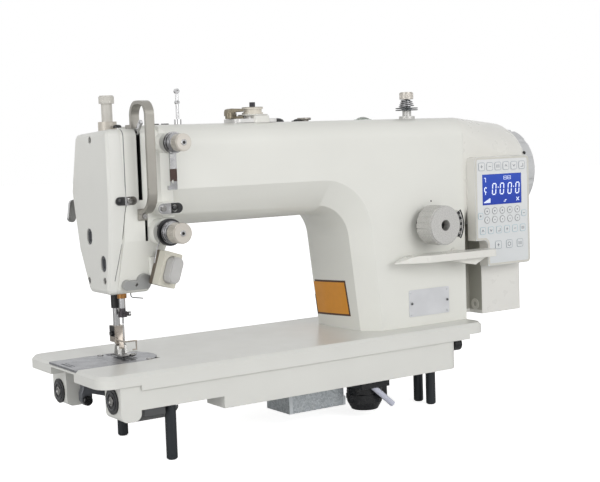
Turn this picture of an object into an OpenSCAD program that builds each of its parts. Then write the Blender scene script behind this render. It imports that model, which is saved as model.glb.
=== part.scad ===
// Direct-drive flat-bed lockstitch sewing machine head.
// Working frame of the modules: x from the needle end of the bed to the handwheel,
// y from the front edge of the bed to the back, z up from the bed's top face.
// place() then moves everything so that the origin is under the middle of the box.

/* [Bed] */
// Length of the bed
bed_len = 476; // [440:1:520]
// Width of the bed, front to back
bed_width = 178; // [170:1:200]
// Thickness of the bed plate
bed_plate = 12; // [9:0.5:14]
// Corner radius of the bed plate
bed_corner = 16; // [8:1:20]
// Chamfer round the top edge of the bed plate
bed_edge = 3; // [1:0.5:4]
// Depth of the rim along the front and back edges
rim_depth = 17; // [15:0.5:22]
// Thickness of the rim and the skirt walls
skirt_wall = 7; // [5:0.5:9]
// Inset of the skirt behind the rim
skirt_inset = 3; // [2:0.5:5]
// Depth of the skirt, bed top to its lower edge
skirt_depth = 48; // [44:1:56]
// Depth of the skirt's shallow part beside the hook
skirt_shallow = 36; // [30:1:40]
// Length of the shallow part, from the corner blocks
shallow_len = 90; // [60:1:110]
// Distance of the corner blocks from the needle end
block_x = 21; // [16:1:26]
// Length of a corner block
block_len = 21; // [18:1:24]
// Depth of a corner block, bed top to its foot
block_depth = 46; // [42:1:50]
// Distance of the skirt's end from the handwheel end of the bed
skirt_end_gap = 41; // [35:1:60]

/* [Legs] */
// Diameter of a rest leg
leg_d = 11; // [9:0.5:13]
// Length of the legs below the bed's top face
leg_reach = 92; // [80:1:110]
// Rounding at the foot of a leg
leg_chamfer = 1.5; // [0.5:0.25:2.5]

/* [Arm] */
// Height of the arm's top above the bed
arm_top = 231; // [222:1:245]
// Front face of the arm, behind the bed's front edge
arm_front = 30; // [28:1:32]
// Depth of the arm and column, front to back
arm_depth = 116; // [112:1:122]
// Rounding along the arm's top edges
arm_round = 22; // [14:1:28]
// Wall of the arm casting
arm_wall = 8; // [6:0.5:10]
// Clear height under the arm at its middle
throat_height = 131; // [124:1:136]
// Distance from the needle to the column
throat_reach = 266; // [250:1:275]
// Corner radius of the throat
throat_round = 40; // [28:1:46]
// Width of the bevel round the throat
throat_bevel = 27; // [18:1:30]
// Length of the column along the bed
column_len = 139; // [130:1:145]
// Height of the main shaft above the bed
shaft_height = 166; // [160:1:170]

/* [Head] */
// Distance of the needle from the bed's needle end
needle_x = 67.5; // [64:0.5:72]
// Distance of the face plate's outer side from the needle
face_reach = 30.5; // [28:0.5:34]
// Set-back of the head's front behind the arm's front
head_setback = 11; // [8:0.5:13]
// Height of the head's underside above the bed
head_bottom = 68; // [66:0.5:74]
// Wall of the face plate
face_wall = 4; // [3:0.5:5]
// Distance from the needle bar to the presser bar
bar_pitch = 15; // [14:0.25:17]

/* [Needle and presser] */
// Diameter of the needle bar
needle_bar_d = 6.4; // [5.5:0.1:7.2]
// Stroke of the needle bar
needle_stroke = 30.7; // [28:0.1:32]
// Diameter of the needle
needle_d = 1.2; // [0.8:0.1:1.6]
// Height of the raised needle's tip above the bed
needle_tip = 12; // [10:0.5:14]
// Diameter of the presser bar
presser_bar_d = 6.8; // [6:0.1:8]
// Lift of the presser foot
foot_lift = 5.5; // [4:0.5:7]

/* [Plates and hook] */
// Radius of the needle plate's round end, and half the width of the plates
plate_r = 32; // [29:0.5:34]
// Thickness of the needle plate and the slide plate
plate_t = 2; // [1.5:0.25:3]
// Distance from the needle to the joint of the two plates
plate_joint = 21; // [18:0.5:24]
// Outer radius of the rotary hook
hook_r = 18.5; // [17:0.25:19]
// Depth of the hook shaft below the bed's top face
hook_depth = 32; // [30:0.5:34]
// Diameter of the hook shaft
hook_shaft_d = 10; // [8:0.5:12]
// Travel of the feed dog, each way
feed_travel = 2.5; // [1.5:0.25:3]

/* [Drive] */
// Diameter of the main shaft
main_shaft_d = 15; // [13:0.5:17]
// Outer radius of the handwheel
wheel_r = 49.5; // [44:0.5:54]
// Thickness of the handwheel
wheel_t = 19; // [15:0.5:24]
// Radius of the motor cover's round end
cover_r = 58; // [56:0.5:60]
// Length of the motor cover
cover_len = 103; // [96:1:112]
// Outer radius of the motor
motor_r = 44; // [38:0.5:46]
// Pitch radius of the upper belt pulley
pulley_r = 24; // [20:0.5:26]

/* [Controls] */
// Width of the control panel
panel_w = 84; // [78:1:88]
// Height of the control panel
panel_h = 125; // [114:1:130]
// Thickness of the control panel in front of the motor cover
panel_t = 14; // [11:0.5:18]
// Length of the control box beside the column
box_len = 95; // [84:1:98]
// Height of the control box
box_h = 104; // [96:1:105]
// Radius of the stitch dial
dial_r = 21.7; // [18:0.1:24]
// Thickness of the stitch dial
dial_t = 24; // [16:0.5:26]
// Length of the reverse lever
lever_len = 126; // [110:1:135]
// Radius of the main tension nut
tension_nut_r = 10; // [8:0.25:11]
// Radius of the upper tension nut
pretension_nut_r = 8.5; // [7:0.25:10]

/* [Fits] */
// Radial running clearance of a shaft in its bush
run_gap = 0.04; // [0.02:0.01:0.08]
// Radial clearance of fixed pieces that are pushed together
fix_gap = 0.02; // [0.02:0.01:0.05]
// Space left between pieces that move past each other
move_gap = 0.4; // [0.3:0.05:0.8]

/* [Hidden] */
$fn = 64;
eps = 0.01;

// ---------- places that follow from the driving dimensions ----------
axis_y = arm_front + arm_depth / 2;  // needle bar and main shaft
arm_back = arm_front + arm_depth;
presser_y = axis_y + bar_pitch;
head_front = arm_front + head_setback;
face_x = needle_x - face_reach;
column_x0 = needle_x + throat_reach;
column_x1 = column_x0 + column_len;
throat_x0 = needle_x + plate_r + 0.5;  // needle end of the throat
bevel_y = 18;  // depth of the throat bevel
bevel_lift = 10;  // rise of the throat at the bevel's inner edge
column_lean = 12;  // how far the column spreads under the arm

// head
seam_x = needle_x - 17.5;  // joint of the face plate and the arm casting
seam_bulge = 4;
chin_y0 = head_front + 12;
chin_y1 = presser_y + 14;
cheek_y = axis_y + 44;  // widest place of the head, at its back
cheek_z = shaft_height - 2;
head_round = 8;
slot_x0 = needle_x + 0.25;  // front slot of the take-up lever
slot_w = 4.5;
slot_z0 = shaft_height - 7;
boss_reach = 20;  // how far the bosses run back into the casting

// shafts
bush_wall = 3.5;
main_r = main_shaft_d / 2;
main_bush_r = main_r + bush_wall;
hook_shaft_r = hook_shaft_d / 2;
hook_bush_r = hook_shaft_r + 3;
hook_z = -hook_depth;
bar_bush_r = needle_bar_d / 2 + 1.6;
presser_bush_r = presser_bar_d / 2 + 1.4;
left_wall = [throat_x0 - 12, throat_x0 + 8];
mid_wall = [column_x0 - 12, column_x0];
right_wall = [column_x1 - 10.5, column_x1];
pulley_x = [column_x0 + 60, column_x0 + 74];
low_web = [needle_x + 26.5, needle_x + 38.5];
far_web = [pulley_x[0] - 18, pulley_x[0] - 6];

// motor end
cover_x1 = column_x1 + cover_len;
cover_wall = 4;
cover_low = shaft_height - cover_r;
wheel_x0 = cover_x1 + 1.5;
wheel_x1 = wheel_x0 + wheel_t;
motor_x1 = column_x1 + 68;
rotor_r = motor_r - 14;

// fittings on the front
tension_x = needle_x + 21.5;
tension_z = throat_height - 3.5;
tension_face = -6;  // front face of the main tension nut
pretension_x = needle_x + 28.5;
pretension_z = shaft_height + 47;
pretension_face = -2;
guide_x = needle_x + 27.5;
guide_z = shaft_height - 16;
dial_x = column_x1 - 57.5;
dial_z = 113;
dial_face = -4;
scale_x = [dial_r + move_gap + 0.3, dial_r + 5.5];
lever_x = column_x1 - 17.5;  // pivot of the reverse lever
lever_z = 77.5;
lever_shaft_r = 6;
panel_x = column_x1 + 4.5;
panel_z = shaft_height - 106;
panel_back = min(arm_front, axis_y - cover_r);
panel_y = panel_back - panel_t;
switch_x = needle_x + 21.5;
switch_z = 91;
switch_tilt = 18;

// take-up
take_up_y = axis_y - 22;
take_up_z = shaft_height + 36;
take_up_pin_r = 4;
take_up_r = 44;
take_up_rest = 45;  // lever angle above level, needle raised

// top fittings
top_y = arm_front + 32;
post_x = needle_x + 57.5;
winder_x = needle_x + 145.5;
winder_tension_x = needle_x + 350.5;
sight_x = needle_x + 307.5;

// skirt and legs
skirt_x0 = block_x + block_len;
skirt_x1 = bed_len - skirt_end_gap;
block_w = 34;  // corner blocks, front to back
block_back = bed_width - 49;
leg_r = leg_d / 2;
leg_seat = 16;  // how deep a leg sits in its boss
legs_at = [
    [needle_x + 12, skirt_inset + skirt_wall + leg_r + 2],
    [needle_x + 19, bed_width - 38],
    [skirt_x1 - skirt_wall - leg_r - 1.5, arm_front + 6],
    [skirt_x1 - skirt_wall - leg_r - 1.5, arm_front + 28],
    [skirt_x1 - skirt_wall - leg_r - 1.5, bed_width - 28]
];
hinge_x = [needle_x + 40, skirt_x1 - 69];
hinge_z = -24;
hinge_r = 5;
plug_r = 12.5;
plug_z = -27;
box_at = [needle_x + 166.5, arm_front + 14];

// fixtures of the bed and the arm
plugs_at = [[block_x, skirt_inset + block_w / 2, plug_z], [block_x, block_back + block_w / 2, plug_z - 9]];
end_plug = [skirt_x1, skirt_inset + 12, plug_z + 4];
end_plug_r = 7.5;
post_r = 3;  // tension posts
screw_r = 5.5;  // pressure screw
spindle_r = 4;  // bobbin winder
dial_shaft_r = 5;
sight_r = 10;
lifter_r = 4;  // shaft of the presser lifter
lifter_x = needle_x + 9;
lifter_z = cheek_z - 8;
// x, y and radius of the rubber plugs on the arm's top
top_plugs = [[throat_x0 + 13, axis_y, 4], [throat_x0 + 24, axis_y, 4], [winder_x + 48, axis_y, 6.5],
             [winder_x + 71, axis_y, 4.5]];

// control panel, measured from its lower left corner
panel_notch = [17.5, 30];
window = [11, 70, 61, 35];  // x, z, width and height of the display
// x, z, size and corner radius of each key
keys = concat(
    [for (i = [0:5]) [10 + 12.5 * i, 114, 9, 1.8]],
    [for (i = [0:4], j = [0, 1]) [17 + 11.8 * i, 63 - 10 * j, 7.5, 3.7]],
    [for (x = [7, 74.6]) [x, 58, 7, 1.8]],
    [for (i = [0:5]) [10 + 12.5 * i, 41, 8, 1.8]],
    [for (i = [0:2]) [33.5 + 17 * i, 23.5, 9, 1.8]]
);

// crank, link and needle bar
crank_x = [needle_x + 9.5, left_wall[0] - 1];
link_x = [needle_x + needle_bar_d / 2 + 0.9, needle_x + 9.1];
crank_r = needle_stroke / 2;
link_len = 45;
stud_z = shaft_height + crank_r - link_len;
bar_low = 46.5;
take_up_eye = [take_up_y - take_up_r * cos(take_up_rest), take_up_z + take_up_r * sin(take_up_rest)];

// guard over the take-up lever
guard_t = 3.5;
guard_y = [head_front - 26, head_front + 9];
guard_top = arm_top + 23;
guard_bend = 20;  // outer radius of its lower bend
// x, seat, z and head radius of the cheese-head screws of the guides and the guard
front_screws = [
    [guide_x - 8, arm_front - 2.5, guide_z, 2.8], [needle_x - 10, head_front - 1.5, shaft_height - 7, 2.6],
    [needle_x + 4, head_front - guard_t, slot_z0 - 15.8, 2.4]
];

// face plate, plates, feed, hook and presser
face_plugs = [[axis_y + 2.7, shaft_height - 42.2], [axis_y - 26.8, shaft_height - 67.5]];
face_screws = [[axis_y - 8.2, arm_top - 12.7], [axis_y + 8, head_bottom + 12], [axis_y - 28, head_bottom + 14]];
head_sink = 2.7;  // depth of the face screws' counterbores
feed_rows = [needle_x - 6.4, needle_x - 2.4, needle_x + 6.4];
plate_screws = [[needle_x + 14.5, axis_y - 26], [needle_x - 14, axis_y + 27]];
hook_x = [needle_x - 13.5, needle_x + 8.5];
bobbin_r = 10.4;
foot_z = [14, 31];  // presser foot shank
foot_hinge_z = foot_z[0] - 3.5;
sole_z = 1.6;
bracket_z = lifter_z + 4.6;  // underside of the presser bar's bracket
chin_slope = 13;  // slope of the head's lower front
socket_at = [box_at[0] + 95.5, arm_front + 9];

// origin under the middle of the whole head, on the floor
y_near = min(tension_face, pretension_face, dial_face);
module place() {
    translate([-wheel_x1 / 2, -(y_near + bed_width) / 2, leg_reach]) children();
}

// ---------- shapes used by several pieces ----------
module along_x(x0, x1) {
    translate([x0, 0, 0]) rotate([90, 0, 90]) linear_extrude(x1 - x0) children();
}
module along_y(y0, y1) {
    translate([0, y1, 0]) rotate([90, 0, 0]) linear_extrude(y1 - y0) children();
}
module rod_x(x0, x1, y, z, r) {
    translate([x0, y, z]) rotate([0, 90, 0]) cylinder(h = x1 - x0, r = r);
}
module rod_y(y0, y1, x, z, r) {
    translate([x, y1, z]) rotate([90, 0, 0]) cylinder(h = y1 - y0, r = r);
}
module rod_z(z0, z1, x, y, r) {
    translate([x, y, z0]) cylinder(h = z1 - z0, r = r);
}
// Rectangle with round corners, from the origin
module round_rect(w, h, r) {
    translate([r, 0]) square([w - 2 * r, h]);
    translate([0, r]) square([w, h - 2 * r]);
    for (x = [r, w - r], y = [r, h - r]) translate([x, y]) circle(r);
}
// Slot shape with round ends, centred
module oval(w, h) {
    square([w - h, h], center = true);
    for (x = [-1, 1]) translate([x * (w - h) / 2, 0]) circle(h / 2);
}
// Round wire along straight runs that meet end in end
module wire(path, r) {
    for (i = [0:len(path) - 2]) {
        d = path[i + 1] - path[i];
        l = norm(d);
        translate(path[i] - 0.6 * r * d / l) rotate([0, acos(d[2] / l), atan2(d[1], d[0])])
            cylinder(h = l + 1.2 * r, r = r);
    }
}
// Coil spring round the z axis
module coil(r, w, height, turns) {
    sides = 6;
    steps = 14;
    n = turns * steps;
    points = [for (i = [0:n], k = [0:sides - 1])
        let (a = 360 * i / steps, b = 360 * k / sides, q = r + w * cos(b))
        [q * cos(a), q * sin(a), height * i / n + w * sin(b)]];
    walls = [for (i = [0:n - 1], k = [0:sides - 1])
        let (a = i * sides + k, b = i * sides + (k + 1) % sides)
        [a, a + sides, b + sides, b]];
    first = [[for (k = [0:sides - 1]) k]];
    last = [[for (k = [sides - 1:-1:0]) n * sides + k]];
    polyhedron(points, concat(walls, first, last));
}
// Thumb nut facing the operator: knurled rim, domed face and a small screw recess
module thumb_nut(x, z, face, depth, r, bore, flutes) {
    difference() {
        union() {
            rod_y(face + 1, face + depth, x, z, r);
            rod_y(face, face + 1, x, z, r - 1);
        }
        rod_y(face + 2, face + depth + eps, x, z, bore + move_gap);
        rod_y(face - eps, face + 2 + eps, x, z, bore - 0.6);
        for (i = [0:flutes - 1]) {
            a = 360 * i / flutes;
            rod_y(face + 3, face + depth - 1, x + (r + 0.55) * cos(a), z + (r + 0.55) * sin(a), 1);
        }
    }
}
// Slotted cheese-head screws facing the operator, and their holes
module front_screw_set() {
    for (s = front_screws) difference() {
        union() {
            rod_y(s[1] - 0.55 * s[3], s[1], s[0], s[2], s[3]);
            rod_y(s[1], s[1] + 2 * s[3], s[0], s[2], 0.5 * s[3]);
        }
        translate([s[0] - s[3], s[1] - 0.55 * s[3] - eps, s[2] - 0.15 * s[3]])
            cube([2 * s[3], 0.3 * s[3], 0.3 * s[3]]);
    }
}
module front_screw_holes() {
    for (s = front_screws) rod_y(s[1] - 1, s[1] + 2 * s[3] + move_gap, s[0], s[2], 0.5 * s[3] + fix_gap);
}

// ---------- bed ----------
module bed_outline(inset) {
    translate([inset, inset])
        round_rect(bed_len - 2 * inset, bed_width - 2 * inset, bed_corner - inset);
}
module corner_block(y) {
    depth = block_depth + (y > axis_y ? 4 : 0);  // the back one hangs lower
    along_y(y, y + block_w) translate([block_x, -depth]) round_rect(block_len, depth - bed_edge, 7);
}
module bed() place() color("whitesmoke") difference() {
    union() {
        difference() {
            union() {
                translate([0, 0, -bed_plate]) linear_extrude(bed_plate - bed_edge) bed_outline(0);
                hull() {
                    translate([0, 0, -bed_edge - eps]) linear_extrude(eps) bed_outline(0, $fn = 32);
                    translate([0, 0, -eps]) linear_extrude(eps) bed_outline(bed_edge, $fn = 32);
                }
                // rim along the front, the back and the handwheel end
                for (y = [0, bed_width - skirt_wall])
                    translate([skirt_x0, y, -rim_depth])
                        cube([skirt_x1 + 15 - skirt_x0, skirt_wall, rim_depth - bed_edge - 1]);
                // skirt
                translate([0, 0, -skirt_depth]) linear_extrude(skirt_depth - bed_edge - 1)
                    translate([skirt_x0 - 20, skirt_inset])
                        round_rect(skirt_x1 - skirt_x0 + 20, bed_width - 2 * skirt_inset, 12);
                for (y = [skirt_inset, block_back]) corner_block(y);
            }
            // inside of the skirt, its open needle end and its shallow part
            translate([skirt_x0 - eps, skirt_inset + skirt_wall, -skirt_depth - 1])
                cube([skirt_x1 - skirt_x0 - skirt_wall, bed_width - 2 * (skirt_inset + skirt_wall),
                      skirt_depth + 1 - bed_plate]);
            difference() {
                translate([skirt_x0 - 30, 0, -skirt_depth - 1])
                    cube([30, bed_width, skirt_depth + 1 - bed_plate]);
                for (y = [skirt_inset, block_back]) corner_block(y);
            }
            difference() {
                translate([skirt_x0 - 30, -1, -skirt_depth - 1])
                    cube([30 + shallow_len, bed_width + 2, skirt_depth + 1 - skirt_shallow]);
                for (y = [skirt_inset, block_back]) corner_block(y);
            }
            // plate seats, hook opening and belt opening
            translate([-1, axis_y - plate_r, -plate_t - move_gap])
                cube([needle_x + 1, 2 * plate_r, plate_t + 1]);
            rod_z(-plate_t - move_gap, 1, needle_x, axis_y, plate_r);
            translate([8, axis_y - plate_r + 4, -bed_plate - 1])
                cube([needle_x + 18, 2 * plate_r - 8, bed_plate + 2]);
            translate([-1, axis_y - plate_r + 4, -bed_plate - 1])
                cube([12, 2 * plate_r - 8, bed_plate - plate_t - 1.5]);
            translate([column_x0 + 18.5, arm_front + 12, -bed_plate - 1])
                cube([column_len - 29, arm_depth - 24, bed_plate + 2]);
        }
        // cross wall where the skirt deepens
        translate([skirt_x0 + shallow_len, skirt_inset + 1, -skirt_depth])
            cube([6, 34, skirt_depth - bed_plate + 1]);
        // bearing webs of the hook shaft
        translate([low_web[0], axis_y - 16, -block_depth])
            cube([low_web[1] - low_web[0], 28.5, block_depth - bed_plate + 1]);
        translate([far_web[0], skirt_inset + 1, -block_depth])
            cube([far_web[1] - far_web[0], bed_width - 2 * skirt_inset - 2, block_depth - 4]);
        // leg and hinge bosses
        for (p = legs_at) rod_z(-bed_plate - leg_seat, -bed_plate + 1, p[0], p[1], leg_r + 3.5);
        for (x = hinge_x) rod_y(bed_width - 22, bed_width - 1, x, hinge_z, hinge_r + 6);
    }
    for (p = legs_at) rod_z(-bed_plate - leg_seat - 1, -bed_plate, p[0], p[1], leg_r + fix_gap);
    for (x = hinge_x) rod_y(bed_width - 23, bed_width + 1, x, hinge_z, hinge_r);
    for (w = [low_web, far_web]) rod_x(w[0] - 1, w[1] + 1, axis_y, hook_z, hook_bush_r + fix_gap);
    // seats of the end plugs
    for (p = plugs_at) rod_x(p[0], p[0] + 6, p[1], p[2], plug_r - 3);
    rod_x(skirt_x1 - 6, skirt_x1 + 1, end_plug[1], end_plug[2], end_plug_r - 3);
    // rounded lower corner of the skirt's end
    along_y(0, bed_width) translate([skirt_x1 - 8, 8 - skirt_depth]) difference() {
        translate([0, -9]) square(9);
        circle(8);
    }
}

// ---------- arm and column casting ----------
// Side of the throat seen from the front; grow and lift open it towards the arm's faces
module throat_view(grow, lift, r) {
    top = throat_height + lift;
    right = column_x0 + grow;
    translate([throat_x0, -2]) square([10, top + 2]);
    translate([right - 10, -2]) square([10, 2 + eps]);
    translate([right - column_lean - r, top - r]) circle(r, $fn = 48);
}
module throat_slab(y, grow, lift, r) {
    along_y(y, y + eps) throat_view(grow, lift, r);
}
module throat_cut() {
    side = [throat_bevel - 9, throat_bevel + bevel_lift, throat_round + 20];
    edge = [0, bevel_lift, throat_round];
    keel = [-2, 0, throat_round - 8];
    ys = [-eps, bevel_y, 2 * bevel_y + 4];
    for (back = [0, 1]) translate([0, back * (arm_front + arm_back), 0]) mirror([0, back, 0]) {
        hull() {
            throat_slab(arm_front + ys[0], side[0], side[1], side[2]);
            throat_slab(arm_front + ys[1], edge[0], edge[1], edge[2]);
        }
        hull() {
            throat_slab(arm_front + ys[1], edge[0], edge[1], edge[2]);
            throat_slab(arm_front + ys[2], keel[0], keel[1], keel[2]);
        }
    }
    along_y(arm_front + ys[2] - eps, arm_back - ys[2] + eps) hull() throat_view(keel[0], keel[1], keel[2]);
}
// End view of the arm: round top edges
module arm_section() {
    translate([arm_front, 0]) square([arm_depth, arm_top - arm_round]);
    translate([arm_front + arm_round, 0]) square([arm_depth - 2 * arm_round, arm_top]);
    for (y = [arm_front + arm_round, arm_back - arm_round])
        translate([y, arm_top - arm_round]) circle(arm_round);
}
// End view of the head, drawn in by inset; chin is its lower back corner
module head_section(inset, chin) {
    offset(delta = -inset) offset(r = head_round, $fn = 32) offset(delta = -head_round) polygon([
        [chin_y0, head_bottom], [head_front, head_bottom + 52], [head_front, arm_top - 3],
        [axis_y + 30, arm_top - 6], [cheek_y, cheek_z], [chin, head_bottom]
    ]);
}
// Front view of the joint between the face plate and the arm casting
seam = [
    [seam_x - seam_bulge, 0], [seam_x - seam_bulge, head_bottom], [seam_x + seam_bulge - 1, shaft_height - 16],
    [seam_x + seam_bulge, shaft_height - 2], [seam_x + 1.5, arm_top - 24], [seam_x, arm_top - 3],
    [seam_x, arm_top + 10]
];
// Front view of the head behind that joint; w draws its right side in for the hollow
module head_view(w) {
    polygon(concat(seam, [
        [throat_x0 + 5 - w, arm_top + 10], [throat_x0 + 5 - w, throat_height + w],
        [throat_x0 - 4 - w, head_bottom + 44 + w], [needle_x + 12 - w, head_bottom + w],
        [needle_x + 12 - w, 0]
    ]));
}
module arm() place() color("whitesmoke") difference() {
    union() {
        difference() {
            union() {
                intersection() {
                    along_x(throat_x0, column_x1) arm_section();
                    translate([throat_x0, arm_front, 0]) cube([column_x1 - throat_x0, arm_depth, arm_top]);
                }
                intersection() {
                    along_x(seam_x - 10, throat_x0 + 4) head_section(0, chin_y1);
                    along_y(head_front - 1, arm_back) head_view(0);
                }
                // soft step from the head's front to the arm's front
                intersection() {
                    along_x(throat_x0 - 10, throat_x0 + 4) arm_section();
                    translate([0, 0, throat_height + bevel_lift]) linear_extrude(arm_top) polygon([
                        [throat_x0 - 8, head_front], [throat_x0, arm_front], [throat_x0 + 4, arm_front],
                        [throat_x0 + 4, arm_back - 1], [throat_x0, arm_back - 1], [throat_x0 - 8, cheek_y],
                        [throat_x0 - 8, head_front]
                    ]);
                }
            }
            throat_cut();
            // hollow of the head, open towards the face plate
            intersection() {
                along_x(0, left_wall[0]) head_section(arm_wall, chin_y1);
                along_y(head_front, arm_back) head_view(5);
            }
            // hollow of the arm and of the column
            along_x(left_wall[1], mid_wall[0]) translate([arm_front + bevel_y, shaft_height - 16])
                round_rect(arm_depth - 2 * bevel_y, arm_top - arm_wall - shaft_height + 16, arm_round - arm_wall);
            along_x(mid_wall[1], right_wall[0]) translate([arm_front + bevel_y, shaft_height - 24])
                round_rect(arm_depth - 2 * bevel_y, arm_top - arm_wall - shaft_height + 24, arm_round - arm_wall);
            translate([column_x0 + 18.5, arm_front + 12, -1])
                cube([right_wall[0] - column_x0 - 18.5, arm_depth - 24, shaft_height - 10]);
        }
        // bosses of the front fittings
        rod_y(arm_front, arm_front + boss_reach, tension_x, tension_z, tension_nut_r + 3);
        rod_y(arm_front, arm_front + boss_reach, pretension_x, pretension_z, pretension_nut_r + 1);
        along_y(arm_front - 1, arm_front + boss_reach) translate([guide_x, guide_z]) oval(28, 12);
        along_y(head_front, head_front + 11) translate([switch_x - 11, switch_z - 6]) square([8, 18]);
        // guard round the dial's right side, which carries the scale
        intersection() {
            difference() {
                rod_y(dial_face + 3, arm_front + 1, dial_x, dial_z, scale_x[1]);
                rod_y(dial_face, arm_front, dial_x, dial_z, scale_x[0]);
            }
            along_y(dial_face, arm_front + 2) translate([dial_x, dial_z])
                polygon([[0, 0], [2 * dial_r, -1.3 * dial_r], [2 * dial_r, 1.3 * dial_r]]);
        }
        // bosses of the needle bar's upper bush and the pressure screw, and the take-up pin
        rod_z(arm_top - 30, arm_top - 8, needle_x, axis_y, bar_bush_r + 3);
        rod_z(arm_top - 30, arm_top - 8, needle_x, presser_y, screw_r + 3);
        rod_x(needle_x + 0.5, left_wall[0] + 1, take_up_y, take_up_z, take_up_pin_r);
    }
    // bores
    for (w = [left_wall, mid_wall, right_wall])
        rod_x(w[0] - 1, w[1] + 1, axis_y, shaft_height, main_bush_r + fix_gap);
    rod_z(head_bottom - 1, head_bottom + 20, needle_x, axis_y, bar_bush_r + fix_gap);
    rod_z(head_bottom - 1, head_bottom + 20, needle_x, presser_y, presser_bush_r + fix_gap);
    rod_z(arm_top - 31, arm_top + 1, needle_x, axis_y, bar_bush_r + fix_gap);
    rod_z(arm_top - 31, arm_top + 1, needle_x, presser_y, screw_r + run_gap);
    // take-up slots in the head's front and top
    translate([slot_x0, head_front - 5, slot_z0]) cube([slot_w, 24, arm_top]);
    translate([slot_x0 + 5.5, head_front - 5, slot_z0 - 40]) cube([3, 18, 30]);
    // posts, dial, lever and sight glass
    rod_y(arm_front - 1, arm_front + 14, tension_x, tension_z, post_r + fix_gap);
    rod_y(arm_front - 1, arm_front + 14, pretension_x, pretension_z, post_r + fix_gap);
    rod_y(arm_front - 1, arm_front + bevel_y + 1, dial_x, dial_z, dial_shaft_r + run_gap);
    rod_y(arm_front - 1, arm_front + bevel_y + 1, lever_x, lever_z, lever_shaft_r + run_gap);
    rod_z(arm_top - arm_wall - 1, arm_top + 1, post_x, top_y, 2 + fix_gap);
    rod_z(arm_top - arm_wall - 1, arm_top + 1, winder_tension_x, top_y, 2.5 + fix_gap);
    rod_z(arm_top - arm_wall - 1, arm_top + 1, winder_x, top_y, spindle_r + run_gap);
    rod_z(arm_top - arm_wall - 1, arm_top + 1, sight_x, axis_y, sight_r - 2);
    for (p = top_plugs) rod_z(arm_top - arm_wall - 8, arm_top + 1, p[0], p[1], p[2] - 1.5);
    rod_y(cheek_y - 30, arm_back + 1, lifter_x, lifter_z, lifter_r + run_gap);
    front_screw_holes();
}

// ---------- motor end and controls ----------
module cover_shell(inset) {
    hull() {
        along_x(column_x1 + inset, column_x1 + inset + 4) translate([arm_front + inset, cover_low + inset])
            round_rect(arm_depth - 2 * inset, arm_top - cover_low - 2 * inset, arm_round - inset, $fn = 48);
        rod_x(cover_x1 - 4 - inset, cover_x1 - inset, axis_y, shaft_height, cover_r - 4 - inset, $fn = 48);
        rod_x(cover_x1 - 12 - inset, cover_x1 - 8 - inset, axis_y, shaft_height, cover_r - inset, $fn = 48);
    }
}
module motor_cover() place() color("ivory") difference() {
    cover_shell(0);
    intersection() {
        cover_shell(cover_wall);
        translate([column_x1 + cover_wall, 0, 0]) cube([cover_len, bed_width, arm_top]);
    }
    rod_x(column_x1 - 1, column_x1 + cover_wall + 1, axis_y, shaft_height, motor_r + move_gap);
    rod_x(cover_x1 - cover_wall - 1, cover_x1 + 1, axis_y, shaft_height, main_r + 3);
}
module control_box() place() color("ivory") difference() {
    translate([column_x1, 0, 2]) linear_extrude(box_h) translate([0, arm_front + 8])
        round_rect(box_len, arm_depth - 16, 6);
    translate([column_x1 + 3, arm_front + 34, 5]) cube([box_len - 6, arm_depth - 45, box_h - 6]);
    translate([column_x1 + 34.5, arm_front + 11, 5]) cube([box_len - 37.5, 24, box_h - 6]);
    // channel beside the column
    translate([column_x1 - 1, arm_front, -1]) cube([32.5, 30, box_h + 4]);
}
module control_panel() place() color("gainsboro") difference() {
    union() {
        along_y(panel_y, panel_back) translate([panel_x, panel_z]) round_rect(panel_w, panel_h, 5);
        // key pads
        for (k = keys) along_y(panel_y - 0.6, panel_y + eps)
            translate([panel_x + k[0] - k[2] / 2, panel_z + k[1] - k[2] / 2]) round_rect(k[2], k[2], k[3]);
    }
    // notch over the reverse lever
    along_y(panel_y - 1, arm_front + 1) translate([panel_x - 10, panel_z - 10])
        round_rect(panel_notch[0] + 10, panel_notch[1] + 10, 6);
    // window of the display
    along_y(panel_y - 1, panel_y + 3) translate([panel_x + window[0], panel_z + window[1]])
        square([window[2], window[3]]);
}
module panel_display() place() color("royalblue")
    along_y(panel_y + 0.6, panel_y + 3) translate([panel_x + window[0] + fix_gap, panel_z + window[1] + fix_gap])
        square([window[2] - 2 * fix_gap, window[3] - 2 * fix_gap]);
module stitch_dial() place() color("silver") difference() {
    union() {
        rod_y(dial_face + 1.5, dial_face + dial_t, dial_x, dial_z, dial_r);
        rod_y(dial_face, dial_face + 1.6, dial_x, dial_z, dial_r - 1.2);
        rod_y(dial_face + dial_t - 1, arm_front + bevel_y - 4, dial_x, dial_z, dial_shaft_r);
    }
    rod_y(dial_face - 1, dial_face + 10, dial_x, dial_z, 6);
    for (i = [0:19]) rod_y(dial_face + 5, dial_face + dial_t + 1, dial_x + (dial_r + 0.7) * cos(18 * i + 9),
        dial_z + (dial_r + 0.7) * sin(18 * i + 9), 1.3);
}
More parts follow.
